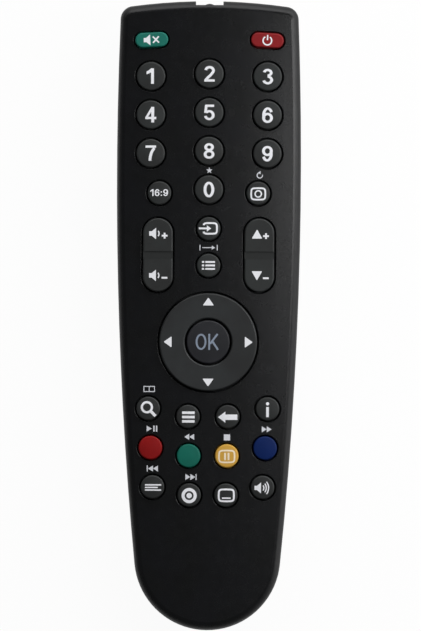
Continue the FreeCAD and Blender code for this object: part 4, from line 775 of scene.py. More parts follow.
@dataclass
class Print:
    """Flat marks that are laid on a surface as one thin closed film.

    Each mark keeps its plan and, for each point, whether it is on the film's face or its back.
    """

    lift: float = 0.015
    sink: float = 0.06
    tile: float = 0.55
    step: float = 0.1
    steps: int = 8
    points: list[np.ndarray] = field(default_factory=list)
    faces: list[list[int]] = field(default_factory=list)

    @property
    def count(self) -> int:
        """How many points the marks have so far."""
        return sum(len(part) for part in self.points)

    def stroke(
        self, path: np.ndarray | Sequence[Point], width: float, closed: bool = False, thin: float = 0.0
    ) -> Print:
        """Draws a line.

        At each point the two sides stand half a width off the path along its mitred normal. Where
        the line runs across instead of up, it is narrower by the thinning share.

        Args:
            path: rows of X and Y.
            width: the line's width where it runs up.
            closed: whether the last point joins the first.
            thin: how much narrower a level stretch is, as a share of the width.

        Returns:
            This print.
        """
        line = np.array(path, float)
        if closed and np.allclose(line[0], line[-1]):
            line = line[:-1]
        run = np.roll(line, -1, 0) - line
        if not closed:
            run[-1] = run[-2]
        run /= np.linalg.norm(run, axis=1, keepdims=True)
        back = np.roll(run, 1, 0)
        if not closed:
            back[0] = run[0]
        side = np.stack([-(run + back)[:, 1], (run + back)[:, 0]], -1)
        side /= np.linalg.norm(side, axis=1, keepdims=True)
        square = np.stack([-run[:, 1], run[:, 0]], -1)
        mitre = 1 / np.maximum((side * square).sum(1, keepdims=True), 0.5)
        offset = side * mitre * width / 2 * (1 - thin * side[:, 1:] ** 2)
        sides = np.stack([line + offset, line - offset, line - offset, line + offset], 1)
        level = np.broadcast_to(np.array([1.0, 1.0, 0.0, 0.0])[None, :, None], (len(line), 4, 1))
        first = self.count
        self.faces += ring_faces(len(line), 4, first, closed)
        if not closed:
            last = first + 4 * (len(line) - 1)
            self.faces += [[first, first + 1, first + 2, first + 3], [last, last + 3, last + 2, last + 1]]
        self.points.append(np.concatenate([sides, level], 2).reshape(-1, 3))
        return self

    def fill(self, outline: np.ndarray | Sequence[Point]) -> Print:
        """Fills an outline that bulges outwards everywhere, as fans from its middle.

        Args:
            outline: rows of X and Y round it.

        Returns:
            This print.
        """
        rim = np.array(outline, float)
        if np.allclose(rim[0], rim[-1]):
            rim = rim[:-1]
        count, first = len(rim), self.count
        plan = np.concatenate([rim, rim.mean(0, keepdims=True)])
        face = np.concatenate([plan, np.ones((count + 1, 1))], 1)
        under = np.concatenate([plan, np.zeros((count + 1, 1))], 1)
        self.points.append(np.concatenate([face, under]))
        turn = np.arange(count)
        on = (turn + 1) % count
        low = count + 1
        self.faces += (np.stack([turn, on, np.full(count, count)], -1) + first).tolist()
        self.faces += (np.stack([on + low, turn + low, np.full(count, low + count)], -1) + first).tolist()
        self.faces += (np.stack([turn + low, on + low, on, turn], -1) + first).tolist()
        return self

    def bar(self, x: float, y: float, across: float, along: float) -> Print:
        """Fills an upright box.

        Args:
            x: its middle.
            y: its middle.
            across: its width.
            along: its height.

        Returns:
            This print.
        """
        half = np.array([across / 2, along / 2])
        corners = np.array([(-1, -1), (1, -1), (1, 1), (-1, 1)]) * half + np.array([x, y])
        return self.fill(corners)

    def take(self, other: Print, x: float = 0.0, y: float = 0.0, scale: float = 1.0) -> Print:
        """Adds another print's marks.

        Args:
            other: the other print.
            x: how far they are moved across.
            y: how far they are moved up.
            scale: how much larger they are made first.

        Returns:
            This print.
        """
        first = self.count
        size = np.array([scale, scale, 1.0])
        self.points += [part * size + np.array([x, y, 0.0]) for part in other.points]
        self.faces += [[first + number for number in face] for face in other.faces]
        return self

    def lay(
        self,
        name: str,
        surface: Surface,
        middle: Point,
        ink: bpy.types.Material,
        turn: float = 0.0,
        out: int = 1,
    ) -> bpy.types.Object:
        """Lays the film on a surface.

        The film is first cut into square tiles, so that it follows the surface between its corners.
        Each mark stands a step higher than the one before it, so that no two faces share a plane.

        Args:
            name: the new piece's name.
            surface: what it lies on.
            middle: where the marks' origin goes.
            ink: its material.
            turn: degrees that the marks are turned anticlockwise.
            out: 1 for a surface that faces up and -1 for one that faces down.

        Returns:
            The new object.
        """
        steps = [
            np.where(part[:, 2:] > 0.5, 1 + self.step * (mark % self.steps), 0)
            for mark, part in enumerate(self.points)
        ]
        plan = np.concatenate(self.points)[:, :2] @ spin(turn) + np.array(middle)
        mesh = bpy.data.meshes.new(name)
        mesh.from_pydata(np.column_stack([plan, np.concatenate(steps)]).tolist(), [], self.faces)
        form = opened(mesh)
        for axis in (0, 1):
            normal = [float(number == axis) for number in range(3)]
            for cut in np.arange(plan[:, axis].min() + self.tile, plan[:, axis].max(), self.tile):
                geometry = form.verts[:] + form.edges[:] + form.faces[:]
                point = [cut * part for part in normal]
                bmesh.ops.bisect_plane(form, geom=geometry, dist=1e-5, plane_co=point, plane_no=normal)
        bmesh.ops.recalc_face_normals(form, faces=form.faces)
        closed(form, mesh)
        points = np.empty(3 * len(mesh.vertices))
        mesh.vertices.foreach_get("co", points)
        points = points.reshape(-1, 3)
        rise = np.where(points[:, 2] > 0.5, self.lift * points[:, 2], -self.sink)
        points[:, 2] = surface.height(points[:, :2]) + out * rise
        mesh.vertices.foreach_set("co", (points * MM).ravel())
        if out < 0:
            mesh.flip_normals()
        return show(name, mesh, ink, 20.0)


def digit(character: str, height: float, weight: float = 0.186) -> Print:
    """A numeral in a plain heavy face, drawn round x = 0 from y = 0 upwards.

    Curved strokes follow arcs of ellipses half a stroke inside the numeral's box, which is 1 high;
    straight ones are bars. Level strokes are a fifth thinner than upright ones.

    Args:
        character: the numeral, a colon or a sign.
        height: its height in millimetres.
        weight: the stroke's width as a share of the height.

    Returns:
        The numeral as a print.
    """
    thin, half_width = 0.2, 0.345
    t, h = weight, weight / 2
    low = t * (1 - thin)
    a, edge = half_width - h, low / 2
    made = Print()

    def bow(x: float, y: float, across: float, along: float, start: float, end: float) -> None:
        """Draws one curved stroke."""
        made.stroke(arc(x, y, across, along, start, end, 45), t, abs(end - start) == 360, thin)

    if character == "0":
        bow(0, 0.5, a, 0.5 - edge, 0, 360)
    elif character == "1":
        made.bar(0.09, 0.5, t, 1.0)
        made.fill([(0.1 - h, 1.0), (-0.07 - h, 0.86), (-0.2 - h, 0.79), (-0.2 - h, 0.61), (0.1 - h, 0.74)])
    elif character == "2":
        top = arc(0.01, 0.715, a - 0.005, 0.285 - edge, 172, -34, 41)
        tail = [(0.06, 0.4), (-0.1, 0.26), (-0.19, 0.16), (-0.22, 0.08)]
        made.stroke(np.concatenate([top, tail]), t * 0.96, thin=0.1)
        made.bar(0.005, edge, 0.67, low)
    elif character == "3":
        bow(-0.005, 0.745, a - 0.03, 0.255 - edge, 170, -92)
        bow(0, 0.285, a, 0.285 - edge, 92, -170)
    elif character == "4":
        made.bar(0.115, 0.5, t, 1.0).bar(-0.01, 0.285, 0.71, low)
        made.stroke([(0.1, 0.96), (-0.295, 0.3)], t * 0.78)
    elif character == "5":
        made.bar(0.03, 1 - edge, 0.56, low)
        made.stroke([(-0.185, 0.97), (-0.245, 0.47)], t * 0.92)
        bow(0, 0.325, a, 0.325 - edge, 142, -168)
    elif character in "69":
        bow(0, 0.325, a, 0.325 - edge, 0, 360)
        bow(0.015, 0.5, a + 0.01, 0.5 - edge, 205, 27)
        if character == "9":
            made.points = [part * np.array([-1, -1, 1]) + np.array([0, 1, 0]) for part in made.points]
    elif character == "7":
        made.bar(0, 1 - edge, 0.68, low)
        made.stroke(arc(0.5, 0.0, 0.55, 0.94, 118, 179, 21), t, thin=thin)
    elif character == "8":
        bow(0, 0.745, a - 0.035, 0.255 - edge, 0, 360)
        bow(0, 0.285, a, 0.285 - edge, 0, 360)
    elif character == ":":
        made.bar(0, 0.12, t, t).bar(0, 0.6, t, t)
    elif character == "+":
        arm = (0.76 - t) / 2
        made.bar(0, 0.5, 0.76, t).bar(0, 0.5 + (arm + t) / 2, t, arm).bar(0, 0.5 - (arm + t) / 2, t, arm)
    elif character == "-":
        made.bar(0, 0.5, 0.76, t)
    return Print().take(made, scale=height)


class Way(Enum):
    """Which way an arrow points, as the angle from pointing up."""

    UP = 0.0
    LEFT = 90.0
    DOWN = 180.0
    RIGHT = 270.0

    def point(self, reach: float) -> Point:
        """The point that far off the middle in this direction."""
        turn = math.radians(self.value)
        return (-reach * math.sin(turn), reach * math.cos(turn))


class Signs:
    """The generic pictograms of a remote control, each drawn round (0, 0) in millimetres."""

    @staticmethod
    def number(text: str, height: float, pitch: float = 0.8) -> Print:
        """Numerals side by side, centred.

        Args:
            text: the numerals.
            height: their height.
            pitch: the room that each takes, as a share of the height.

        Returns:
            The numerals as a print.
        """
        made = Print()
        widths = [0.42 if sign == ":" else 0.62 if sign == "1" else 1.0 for sign in text]
        at = -sum(widths) / 2
        for sign, width in zip(text, widths):
            made.take(digit(sign, height), (at + width / 2) * pitch * height, -height / 2)
            at += width
        return made

    @staticmethod
    def triangle(base: float, height: float, way: Way, soft: float = 0.35) -> Print:
        """A solid arrow with rounded corners.

        Args:
            base: the width of its foot.
            height: how far it reaches from foot to tip.
            way: which way it points.
            soft: how far from a corner its rounding starts.

        Returns:
            The pictogram.
        """
        corners = softened([(-base / 2, -height / 2), (base / 2, -height / 2), (0, height / 2)], soft)
        return Print().fill(corners @ spin(way.value))

    @staticmethod
    def confirm() -> Print:
        """The two plain letters of the confirm key."""
        made = Print().stroke(arc(-2.25, 0, 1.35, 2.16, 0, 360, 57), 0.55, True)
        made.bar(0.22, 0, 0.55, 4.85)
        return made.stroke([(0.48, -0.62), (2.72, 2.4)], 0.58).stroke([(1.12, 0.22), (2.88, -2.4)], 0.6)

    @staticmethod
    def picture() -> Print:
        """A screen with a ring on it."""
        made = Print().stroke(screen(2.14, 1.74), 0.52, True)
        return made.stroke(arc(0, 0, 0.95, 0.95, 0, 360, 33), 0.42, True)

    @staticmethod
    def source() -> Print:
        """A screen with an arrow that goes in from the left."""
        made = Print().stroke(screen(2.06, 1.62, -168, 168) + np.array([0.62, 0]), 0.56)
        made.bar(-1.5, 0, 2.6, 0.56)
        return made.fill([(-0.4, -0.95), (0.95, 0), (-0.4, 0.95)])

    @staticmethod
    def guide() -> Print:
        """A list: three rows, each a short and a long bar."""
        made = Print()
        for y in (1.05, 0.0, -1.05):
            made.bar(-1.6, y, 0.7, 0.54).bar(0.55, y, 2.9, 0.54)
        return made

    @staticmethod
    def page() -> Print:
        """A page of text: three lines of uneven length."""
        made = Print()
        for y, length in ((0.78, 4.9), (0.0, 3.9), (-0.78, 4.9)):
            made.bar(length / 2 - 2.45, y, length, 0.42)
        return made

    @staticmethod
    def menu() -> Print:
        """Three thick bars."""
        made = Print()
        for y in (1.3, 0, -1.3):
            made.bar(0, y, 3.8, 0.78)
        return made

    @staticmethod
    def magnifier() -> Print:
        """A lens with a handle."""
        made = Print().stroke(arc(-0.42, 0.5, 1.52, 1.52, 0, 360, 49), 0.68, True)
        return made.stroke([(0.78, -0.72), (2.2, -2.15)], 0.88)

    @staticmethod
    def back() -> Print:
        """A thick arrow to the left."""
        return Print().fill([(-2.95, 0), (-0.72, -1.68), (-0.72, 1.68)]).bar(1.1, 0, 3.64, 1.62)

    @staticmethod
    def info() -> Print:
        """A dot over a stem."""
        return Print().fill(arc(0, 1.72, 0.5, 0.5, 0, 360, 25)).bar(0, -0.8, 0.84, 3.1)

    @staticmethod
    def still() -> Print:
        """A screen with two pause bars."""
        made = Print().stroke(screen(2.35, 1.8), 0.5, True)
        return made.bar(-0.52, 0, 0.58, 2.2).bar(0.52, 0, 0.58, 2.2)

    @staticmethod
    def record() -> Print:
        """A broad ring round a dot."""
        made = Print().stroke(arc(0, 0, 1.82, 1.82, 0, 360, 57), 0.94, True)
        return made.fill(arc(0, 0, 0.82, 0.82, 0, 360, 33))

    @staticmethod
    def subtitle() -> Print:
        """A screen with a line of text at its foot."""
        return Print().stroke(screen(2.3, 1.8), 0.56, True).bar(0, -0.85, 2.6, 0.42)

    @staticmethod
    def speaker(waves: int, crossed: bool = False) -> Print:
        """A loudspeaker with sound waves, or crossed out.

        Args:
            waves: how many waves it gives off.
            crossed: whether a cross stands beside it.

        Returns:
            The pictogram.
        """
        cone = [(-1.67, -0.65), (-0.45, -1.65), (-0.45, 1.65), (-1.67, 0.65)]
        made = Print().bar(-2.05, 0, 0.75, 1.3).fill(cone)
        for wave in range(waves):
            reach = 1.0 + 0.72 * wave
            made.stroke(arc(-0.6, 0, reach, reach * 1.12, -42, 42, 13), 0.36)
        if crossed:
            for way in (-1, 1):
                made.stroke([(0.35, 0.95 * way), (2.15, -0.95 * way)], 0.46)
        return made

    @staticmethod
    def power() -> Print:
        """A ring that is open at the top, with a bar in the gap."""
        return Print().stroke(arc(0, -0.1, 1.3, 1.3, 122, 418, 41), 0.42).bar(0, 0.85, 0.42, 1.6)

    @staticmethod
    def star() -> Print:
        """A five-pointed star, as five kites round a middle."""
        made = Print()
        for point in range(5):
            at = 90 + 72 * point
            kite = ((0.0, 0.0), (0.42, -36.0), (1.0, 0.0), (0.42, 36.0))
            made.fill([arc(0, 0, reach, reach, at + turn, at + turn, 1)[0] for reach, turn in kite])
        return made

    @staticmethod
    def loop() -> Print:
        """An open ring with an arrow head: play again."""
        made = Print().stroke(arc(0, 0, 0.82, 0.82, 75, 375, 33), 0.28)
        return made.fill([(0.2, 0.28), (0.28, 1.3), (-0.55, 0.85)])

    @staticmethod
    def span() -> Print:
        """An arrow between two posts: a stretch from one mark to another."""
        made = Print().bar(-2.6, 0, 0.26, 1.7).bar(2.6, 0, 0.26, 1.7).bar(-0.5, 0, 2.9, 0.26)
        return made.fill([(0.95, -0.6), (2.0, 0), (0.95, 0.6)])

    @staticmethod
    def squares() -> Print:
        """A frame with a bar down its middle: two pictures side by side."""
        frame_line = [(-1.6, -0.78), (1.6, -0.78), (1.6, 0.78), (-1.6, 0.78)]
        return Print().stroke(frame_line, 0.25, True).bar(0, 0, 0.25, 1.35)

    @staticmethod
    def play_pause() -> Print:
        """Play and pause."""
        made = Print().fill([(-1.6, -0.9), (-0.05, 0), (-1.6, 0.9)])
        return made.bar(0.6, 0, 0.42, 1.8).bar(1.4, 0, 0.42, 1.8)

    @staticmethod
    def wind(sign: int, stop: bool = False) -> Print:
        """Two arrow heads in a row, with a bar at the end to skip.

        Args:
            sign: 1 for forwards and -1 for back.
            stop: whether there is a bar.

        Returns:
            The pictogram.
        """
        made = Print()
        for at in (-0.75, 0.75):
            back, tip = sign * (at - 0.75), sign * (at + 0.75)
            made.fill([(back, -0.92), (tip, 0), (back, 0.92)])
        return made.bar(sign * 1.72, 0, 0.3, 1.84) if stop else made

    @staticmethod
    def stop() -> Print:
        """A solid square."""
        return Print().bar(0, 0, 1.9, 1.85)


# Sub-assemblies.


class Palette:
    """Every finish of the remote, made once and looked up by name."""

    def __init__(self, finishes: Sequence[Finish]) -> None:
        """Makes the finishes' materials."""
        self.materials = {finish.name: finish.make() for finish in finishes}

    def __getitem__(self, name: str) -> bpy.types.Material:
        """The material of that name."""
        return self.materials[name]

    def dress(self, node: str, name: str) -> None:
        """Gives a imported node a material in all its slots.

        Args:
            node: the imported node.
            name: the finish.
        """
        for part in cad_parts[node].material_slots:
            part.material = self.materials[name]
        LOG.info("dressed %s in %s", node, name)


def add(
    piece: bpy.types.Object, body: str, nodes: Sequence[str] = ()
) -> bpy.types.Object:
    """Puts a finished piece on its body.

    Args:
        piece: the piece.
        body: the body that it rides on.
        nodes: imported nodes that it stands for.

    Returns:
        The same piece.
    """
    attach(piece, body)
    if nodes:
        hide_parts(*nodes)
    LOG.info("piece %s rides on %s", piece.name, body)
    return piece


def middle_of(node: str) -> Point:
    """The middle of a node's plan in millimetres."""
    low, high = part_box(node)
    return ((low.x + high.x) / 2 / MM, (low.y + high.y) / 2 / MM)


def push_keys() -> list[str]:
    """The nodes of the round and pill-shaped keys."""
    return [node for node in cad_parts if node.startswith("key_") and node not in ROCKERS]


def top_of(node: str) -> float:
    """The height of a node's highest point in millimetres."""
    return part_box(node)[1].z / MM


@dataclass
class SubAssembly:
    """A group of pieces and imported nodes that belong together."""

    palette: Palette

    def build(self) -> None:
        """Makes its own pieces, if it has any."""

    def coats(self) -> dict[str, str]:
        """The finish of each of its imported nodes."""
        return {}

    def dress(self) -> None:
        """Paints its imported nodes."""
        for node, finish in self.coats().items():
            self.palette.dress(node, finish)


@dataclass
class Shells(SubAssembly):
    """The two shells and the battery door, with the marks on the front face and the door."""

    arrow_middle: Point = (0.0, -52.5)

    def build(self) -> None:
        """Prints the small marks over the keys and raises the arrow on the door."""
        ink = self.palette["ink_small"]
        marks: tuple[tuple[str, Print, Point], ...] = (
            ("favourite", Signs.star(), (0.1, 43.85)),
            ("again", Signs.loop(), (15.35, 42.45)),
            ("stretch", Signs.span(), (0.0, 20.55)),
            ("double", Signs.squares(), (-17.75, -22.2)),
            ("play_pause", Signs.play_pause(), (-16.85, -34.15)),
            ("rewind", Signs.wind(-1), (-5.6, -36.6)),
            ("stop", Signs.stop(), (5.8, -36.7)),
            ("forward", Signs.wind(1), (17.8, -34.2)),
            ("previous", Signs.wind(-1, True), (-16.5, -46.2)),
            ("next", Signs.wind(1, True), (-5.2, -48.7)),
        )
        for name, sign, middle in marks:
            add(sign.lay(f"mark_{name}", Crown(), middle, ink), CASE)
        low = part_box("battery_door")[0]
        arrow = Print(lift=0.1, sink=0.2)
        arrow.take(Signs.triangle(6.4, 4.6, Way.DOWN, 0.5))
        door = self.palette["door"]
        piece = arrow.lay("door_arrow", Level(low.z / MM), self.arrow_middle, door, out=-1)
        add(piece, "battery_door")

    def coats(self) -> dict[str, str]:
        """The finishes of the shells and the door."""
        return {"top_shell": "front_shell", "rear_shell": "rear_shell", "battery_door": "door"}


@dataclass
class PushKeys(SubAssembly):
    """The round and pill-shaped push keys and their legends, some of them a little below the middle."""

    below: Point = (0.0, -0.15)
    number_height: float = 4.7
    rim: float = 0.45
    lap: float = 0.7

    def legend(
        self,
        key: str,
        sign: Print,
        ink: str,
        shift: Point = (0.0, 0.0),
        turn: float = 0.0,
        flat: bool = False,
    ) -> None:
        """Prints a sign on a key.

        Args:
            key: the key's node and body.
            sign: what is printed.
            ink: the ink's name.
            shift: how far the sign is off the key's middle.
            turn: degrees that it is turned anticlockwise.
            flat: whether the key's top is flat instead of domed.
        """
        low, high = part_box(key)
        x, y = middle_of(key)
        reach = (high.y - low.y) / 2 / MM - self.lap - self.rim
        surface = Level(top_of(key)) if flat else Dome((x, y), top_of(key), reach)
        middle = (x + shift[0], y + shift[1])
        add(sign.lay(f"legend_{key}", surface, middle, self.palette[ink], turn), key)

    def build(self) -> None:
        """Prints every push key's legend."""
        for number in range(10):
            self.legend(f"key_{number}", Signs.number(str(number), self.number_height), "ink")
        self.legend("key_aspect", Signs.number("16:9", 2.1, 0.86), "ink", (0.0, 0.1))
        signs: dict[str, tuple[Print, str, Point]] = {
            "key_repeat": (Signs.picture(), "ink", self.below),
            "key_source": (Signs.source(), "ink", (-0.18, 0.1)),
            "key_guide": (Signs.guide(), "ink", (-0.06, 0.03)),
            "key_zoom": (Signs.magnifier(), "ink", self.below),
            "key_menu": (Signs.menu(), "ink", (0.12, -0.15)),
            "key_back": (Signs.back(), "ink", self.below),
            "key_info": (Signs.info(), "ink", self.below),
            "key_yellow": (Signs.still(), "ink_cream", self.below),
            "key_text": (Signs.page(), "ink", (0.15, -0.15)),
            "key_record": (Signs.record(), "ink", self.below),
            "key_subtitle": (Signs.subtitle(), "ink", (0.15, -0.03)),
            "key_audio": (Signs.speaker(3), "ink", self.below),
            "key_ok": (Signs.confirm(), "ink_blue", (0.09, 0.06)),
        }
        for key, (sign, ink, shift) in signs.items():
            self.legend(key, sign, ink, shift)
        self.legend("key_mute", Signs.speaker(0, True), "ink", turn=3.0, flat=True)
        self.legend("key_power", Signs.power(), "ink", turn=-3.0, flat=True)

    def coats(self) -> dict[str, str]:
        """The finishes of the keys: grey, apart from the coloured ones.

        Returns:
            The finish of each key by its node.
        """
        coats = {node: "key_grey" for node in push_keys()}
        for name in ("key_red", "key_green", "key_yellow", "key_blue"):
            coats[name] = name
        return coats | {"key_mute": "key_teal", "key_power": "key_crimson", "key_ok": "key_confirm"}


@dataclass
class Rockers(SubAssembly):
    """The two rocker keys with their signs above and below the waist."""

    upper: tuple[float, float] = (6.44, 5.8)
    lower: tuple[float, float] = (-6.2, -6.9)
    mark_height: float = 2.3

    def build(self) -> None:
        """Prints each rocker's two signs with plus and minus beside them."""
        ink = self.palette["ink"]
        for key in ROCKERS:
            made = Print()
            for (sign_y, mark_y), mark, way in ((self.upper, "+", Way.UP), (self.lower, "-", Way.DOWN)):
                if key == "key_volume":
                    made.take(Signs.speaker(1), -0.1, sign_y, 1.05)
                else:
                    made.take(Signs.triangle(3.2, 2.8, way, 0.3), -0.7, sign_y)
                made.take(digit(mark, self.mark_height, 0.24), 2.0, mark_y - self.mark_height / 2)
            add(made.lay(f"legend_{key}", Level(top_of(key)), middle_of(key), ink), key)

    def coats(self) -> dict[str, str]:
        """The finish of both rockers."""
        return dict.fromkeys(ROCKERS, "rocker")


@dataclass
class NavigationPad(SubAssembly):
    """The navigation ring with its four arrows, and the rubber pad inside it."""

    reach: float = 12.25
    base: float = 3.4
    rise: float = 2.4

    def build(self) -> None:
        """Prints the arrows and makes the rubber pad."""
        middle = middle_of("nav_ring")
        arrows = Print()
        for way in Way:
            arrows.take(Signs.triangle(self.base, self.rise, way), *way.point(self.reach))
        piece = arrows.lay("legend_arrows", Level(top_of("nav_ring")), middle, self.palette["ink"])
        add(piece, "nav_ring")
        mesh = bpy.data.meshes.new("ring_rubber_pad")
        closed(merged_copy("nav_ring_pad"), mesh)
        pad = show("ring_rubber_pad", mesh, self.palette["silicone"])
        add(pad, "nav_pad", ["nav_ring_pad"])
        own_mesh(pad)

    def coats(self) -> dict[str, str]:
        """The finish of the ring."""
        return {"nav_ring": "ring"}


@dataclass(frozen=True)
class Bell:
    """One bell of the mat: which joint presses it, where it stands and its stem's radius."""

    name: str
    joint: str
    middle: Point
    stem: float


@dataclass
class RubberMat(SubAssembly):
    """The silicone mat: a flat web, and a thin bell under every key stem.

    A bell's wall leans in by its toe, goes straight up to its shoulder and leans in again to its top.
    Pressed and rocked, the shares of its height kept at the joint's end, are not used.
    """

    cut: float = 16.69
    bell_top: float = 17.9
    skin: float = 0.35
    play: float = 0.02
    toe: Point = (0.12, 0.3)
    shoulder: Point = (0.1, 0.18)
    spread: float = 1.2
    stem_inset: float = 1.9
    bar_stem: float = 1.3
    confirm_stem: float = 3.1
    plunger: float = 1.5
    rocker_reach: float = 7.3
    ring_reach: float = 10.65
    pressed: float = 0.2
    rocked: float = 0.3

    def bells(self) -> list[Bell]:
        """Every bell of the mat.

        Returns:
            The bells under the push keys, then the rockers' and the ring's.
        """
        found = []
        bar = self.bar_stem
        special = {"key_ok": self.confirm_stem, "key_mute": bar, "key_power": bar}
        for node in push_keys():
            low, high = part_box(node)
            stem = (high.x - low.x) / 2 / MM - self.stem_inset
            stem = special.get(node, stem)
            found.append(Bell(node, f"{node}_press", middle_of(node), stem))
        for node in ROCKERS:
            x, y = middle_of(node)
            for end, way in (("upper", 1), ("lower", -1)):
                at = (x, y + way * self.rocker_reach)
                found.append(Bell(f"{node}_{end}", f"{node}_rock", at, self.plunger))
        x, y = middle_of("nav_ring")
        for way in Way:
            joint = "nav_up_down" if way in (Way.UP, Way.DOWN) else "nav_left_right"
            across, along = way.point(self.ring_reach)
            found.append(Bell(f"nav_{way.name.lower()}", joint, (x + across, y + along), self.plunger))
        return found

    def build(self) -> None:
        """Makes the web and the bells."""
        form = merged_copy("keypad_mat")
        geometry = form.verts[:] + form.edges[:] + form.faces[:]
        level, up = (0, 0, self.cut * MM), (0, 0, 1)
        cut = bmesh.ops.bisect_plane(
            form, geom=geometry, dist=NEAR, plane_co=level, plane_no=up, clear_outer=True
        )
        edges = [part for part in cut["geom_cut"] if isinstance(part, bmesh.types.BMEdge)]
        bmesh.ops.triangle_fill(form, use_beauty=True, edges=edges, normal=up)
        bmesh.ops.recalc_face_normals(form, faces=form.faces)
        mesh = bpy.data.meshes.new("mat_web")
        closed(form, mesh)
        web = show("mat_web", mesh, self.palette["silicone"], 25.0)
        add(web, CASE, ["keypad_mat"])
        for bell in self.bells():
            foot = bell.stem + self.spread
            low, high = self.cut, self.bell_top - self.play
            (toe_in, toe_up), (shoulder_out, shoulder_down) = self.toe, self.shoulder
            outer, inner = (
                [
                    (foot + below, low),
                    (foot + below - toe_in, low + toe_up),
                    (bell.stem + above + shoulder_out, high - shoulder_down),
                    (bell.stem + above, high),
                ]
                for below, above in ((self.skin, self.skin), (0.0, self.play))
            )
            wall = outer + inner[::-1]
            piece = turned(f"bell_{bell.name}", bell.middle, wall, self.palette["silicone"])
            add(piece, CASE)
            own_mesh(piece)


@dataclass
class Electronics(SubAssembly):
    """The circuit board and what is soldered to it."""

    def coats(self) -> dict[str, str]:
        """The finishes of the board and its components."""
        return {
            "circuit_board": "laminate",
            "contact_pads": "carbon",
            "controller_chip": "chip",
            "chip_leads": "tinned",
            "resonator": "ceramic",
            "capacitor": "sleeve",
            "smd_passives": "chip",
            "drive_transistor": "chip",
            "ir_led": "resin",
            "ir_led_leads": "tinned",
        }


@dataclass
class PowerSupply(SubAssembly):
    """The two cells, their contacts and springs, and the case screw beside them."""

    def coats(self) -> dict[str, str]:
        """The finishes of the cells, contacts and screw."""
        cells = {"battery_left": "cell_left", "battery_right": "cell_right"}
        contacts = ("positive_contact", "negative_contact", "bridge_contact")
        return cells | dict.fromkeys(contacts, "spring_steel") | {"case_screw": "screw_steel"}


# The studio.


@dataclass(frozen=True)
class Lamp:
    """A soft rectangular lamp, in metres and watts, that points at the remote."""

    name: str
    place: tuple[float, float, float]
    size: tuple[float, float]
    power: float

    def build(self) -> None:
        """Adds the lamp."""
        light = bpy.data.lights.new(self.name, "AREA")
        light.shape = "RECTANGLE"
        light.size, light.size_y = self.size
        light.energy = self.power
        lamp = linked(self.name, light)
        lamp.visible_camera = False
        lamp.location = self.place
        lamp.rotation_mode = "QUATERNION"
        lamp.rotation_quaternion = lamp.location.to_track_quat("Z", "Y")


@dataclass
class Studio:
    """A white floor, soft lamps, a pale world and the camera over the remote."""

    floor_reach: float = 6.0
    floor_drop: float = 0.02
    world_light: float = 0.1
    floor_glow: float = 0.95
    picture: tuple[int, int] = (421, 631)
    millimetres_per_pixel: float = 0.3023
    camera_height: float = 4.0
    focus_height: float = 17.0
    middle: Point = (0.66, 0.07)
    roll: float = 0.265
    lamps: tuple[Lamp, ...] = (
        Lamp("lamp_glare", (0.278, 0.091, 0.355), (0.09, 0.48), 0.75),
        Lamp("lamp_right", (1.0, 0.3, 0.42), (1.6, 0.6), 5.9),
        Lamp("lamp_head", (0.1, 0.9, 0.62), (1.5, 0.8), 11.0),
    )

    def build(self) -> None:
        """Adds the floor, the lamps, the world and the camera."""
        self.add_floor()
        for lamp in self.lamps:
            lamp.build()
        self.add_world()
        self.add_camera()
        bpy.context.scene.view_settings.view_transform = "Standard"

    def add_floor(self) -> None:
        """Adds a plain white floor that the camera sees as paper white, with the remote's shadow on it."""
        reach, level = self.floor_reach, -self.floor_drop * MM
        corners = [(x * reach, y * reach, level) for x, y in ((-1, -1), (1, -1), (1, 1), (-1, 1))]
        mesh = bpy.data.meshes.new("floor")
        mesh.from_pydata(corners, [], [[0, 1, 2, 3]])
        floor = linked("floor", mesh)
        paint = Painter("paper")
        paint.set(Base_Color=(0.9, 0.9, 0.9, 1.0), Roughness=0.9, Specular_IOR_Level=0.1)
        path = paint.node("ShaderNodeLightPath", {}, {})
        seen = paint.math("MAXIMUM", path.term("Is Camera Ray"), path.term("Is Glossy Ray"))
        seen = paint.math("MAXIMUM", seen, path.term("Is Transmission Ray"))
        paper = paint.shader.outputs[0]
        glow = paint.node("ShaderNodeEmission", {}, {"Color": (1.0, 1.0, 1.0, 1.0), "Strength": 1.0}).out()
        under = paint.node("ShaderNodeBsdfTransparent", {}, {}).out()
        lit = paint.node("ShaderNodeMixShader", {}, {0: seen * self.floor_glow, 1: paper, 2: glow}).out()
        back = paint.node("ShaderNodeNewGeometry", {}, {}).term("Backfacing")
        both = paint.node("ShaderNodeMixShader", {}, {0: back, 1: lit, 2: under}).out()
        paint.tree.links.new(both, paint.tree.nodes["Material Output"].inputs["Surface"])
        mesh.materials.append(paint.material)

    def add_world(self) -> None:
        """Adds an even pale world."""
        world = bpy.data.worlds.new("studio")
        bpy.context.scene.world = world
        world.use_nodes = True
        back = world.node_tree.nodes["Background"]
        back.inputs["Color"].default_value = (1.0, 1.0, 1.0, 1.0)
        back.inputs["Strength"].default_value = self.world_light

    def add_camera(self) -> None:
        """Adds the camera straight over the remote, so far off that the view is nearly parallel."""
        data = bpy.data.cameras.new("camera")
        camera = linked("camera", data)
        tall = self.picture[1] * self.millimetres_per_pixel
        data.lens = data.sensor_width * (self.camera_height / MM - self.focus_height) / tall
        data.clip_start, data.clip_end = 0.1, 20.0
        camera.location = (self.middle[0] * MM, self.middle[1] * MM, self.camera_height)
        camera.rotation_euler = (0.0, 0.0, math.radians(self.roll))
        bpy.context.scene.camera = camera


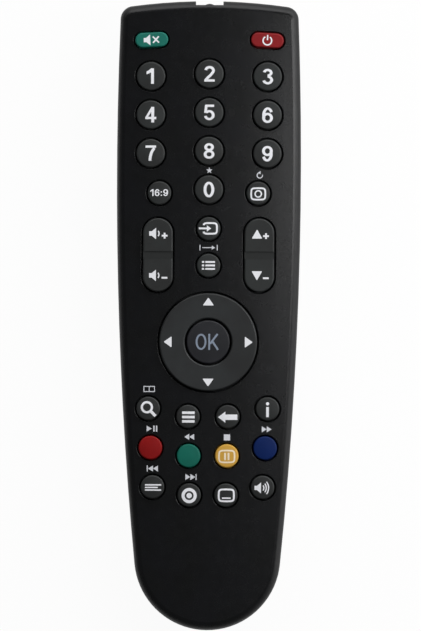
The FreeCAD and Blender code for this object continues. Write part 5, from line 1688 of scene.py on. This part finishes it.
def finishes() -> list[Finish]:
    """Every finish of the remote.

    Returns:
        The finishes, the keys' all with one fine texture.
    """
    key = {"roughness": 0.45, "grain": 0.16, "depth": 0.006}
    parting = 11.4
    cells = {side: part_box(f"battery_{side}") for side in ("left", "right")}
    waist = middle_of("key_volume")[1]
    return [
        Moulded(
            "front_shell", (11, 12, 14), 0.265, 0.2, 0.004, specular=0.41, parting=parting, crown=Crown()
        ),
        Moulded("rear_shell", (16, 16, 16), 0.38, 0.26, 0.010, specular=0.3, parting=parting),
        Moulded("door", (16, 16, 16), 0.38, 0.26, 0.010, specular=0.3),
        Moulded("key_grey", (37, 39, 39), specular=0.34, **key),
        # The rocker's waist band gets painted shade in its colour.
        Moulded("rocker", (37, 39, 39), specular=0.34, waist=(waist, 1.15), **key),
        Moulded("ring", (37, 39, 40), specular=0.34, **key),
        Moulded("key_confirm", (30, 31, 35), specular=0.3, **key),
        Moulded("key_teal", (26, 108, 95), mottle=0.06, specular=0.2, **key),
        Moulded("key_crimson", (134, 26, 30), mottle=0.06, specular=0.2, **key),
        Moulded("key_red", (133, 17, 18), mottle=0.06, specular=0.15, **key),
        Moulded("key_green", (19, 97, 83), mottle=0.06, specular=0.15, **key),
        Moulded("key_yellow", (208, 160, 66), mottle=0.04, specular=0.2, **key),
        Moulded("key_blue", (6, 31, 83), mottle=0.06, specular=0.15, **key),
        Moulded("silicone", (88, 90, 92), 0.7, 0.3, 0.01, sheen=0.2),
        Moulded("carbon", (14, 14, 15), 0.75, 0.12, 0.01),
        Moulded("chip", (20, 20, 21), 0.65, 0.18, 0.01),
        Moulded("ceramic", (34, 70, 126), 0.35, 0.5, 0.01),
        Moulded("sleeve", (26, 34, 58), 0.3, 0.8, 0.006),
        Ink("ink", (244, 245, 250)),
        Ink("ink_small", (222, 224, 230)),
        Ink("ink_cream", (250, 234, 206)),
        Ink("ink_blue", (136, 147, 164)),
        Metal("tinned", (196, 196, 192), 0.35),
        Metal("spring_steel", (178, 180, 180), 0.28),
        Metal("screw_steel", (142, 142, 140), 0.32),
        Laminate("laminate"),
        Resin("resin"),
        CellWrap("cell_left", cells["left"][0].y / MM, 1),
        CellWrap("cell_right", cells["right"][1].y / MM, -1),
    ]


def main() -> None:
    """Builds and dresses the remote, then the studio."""
    logging.basicConfig(level=logging.INFO, format="%(message)s")
    palette = Palette(finishes())
    for kind in (Shells, PushKeys, Rockers, NavigationPad, RubberMat, Electronics, PowerSupply):
        assembly = kind(palette)
        assembly.build()
        assembly.dress()
    Studio().build()


if __name__ == "__main__":
    main()
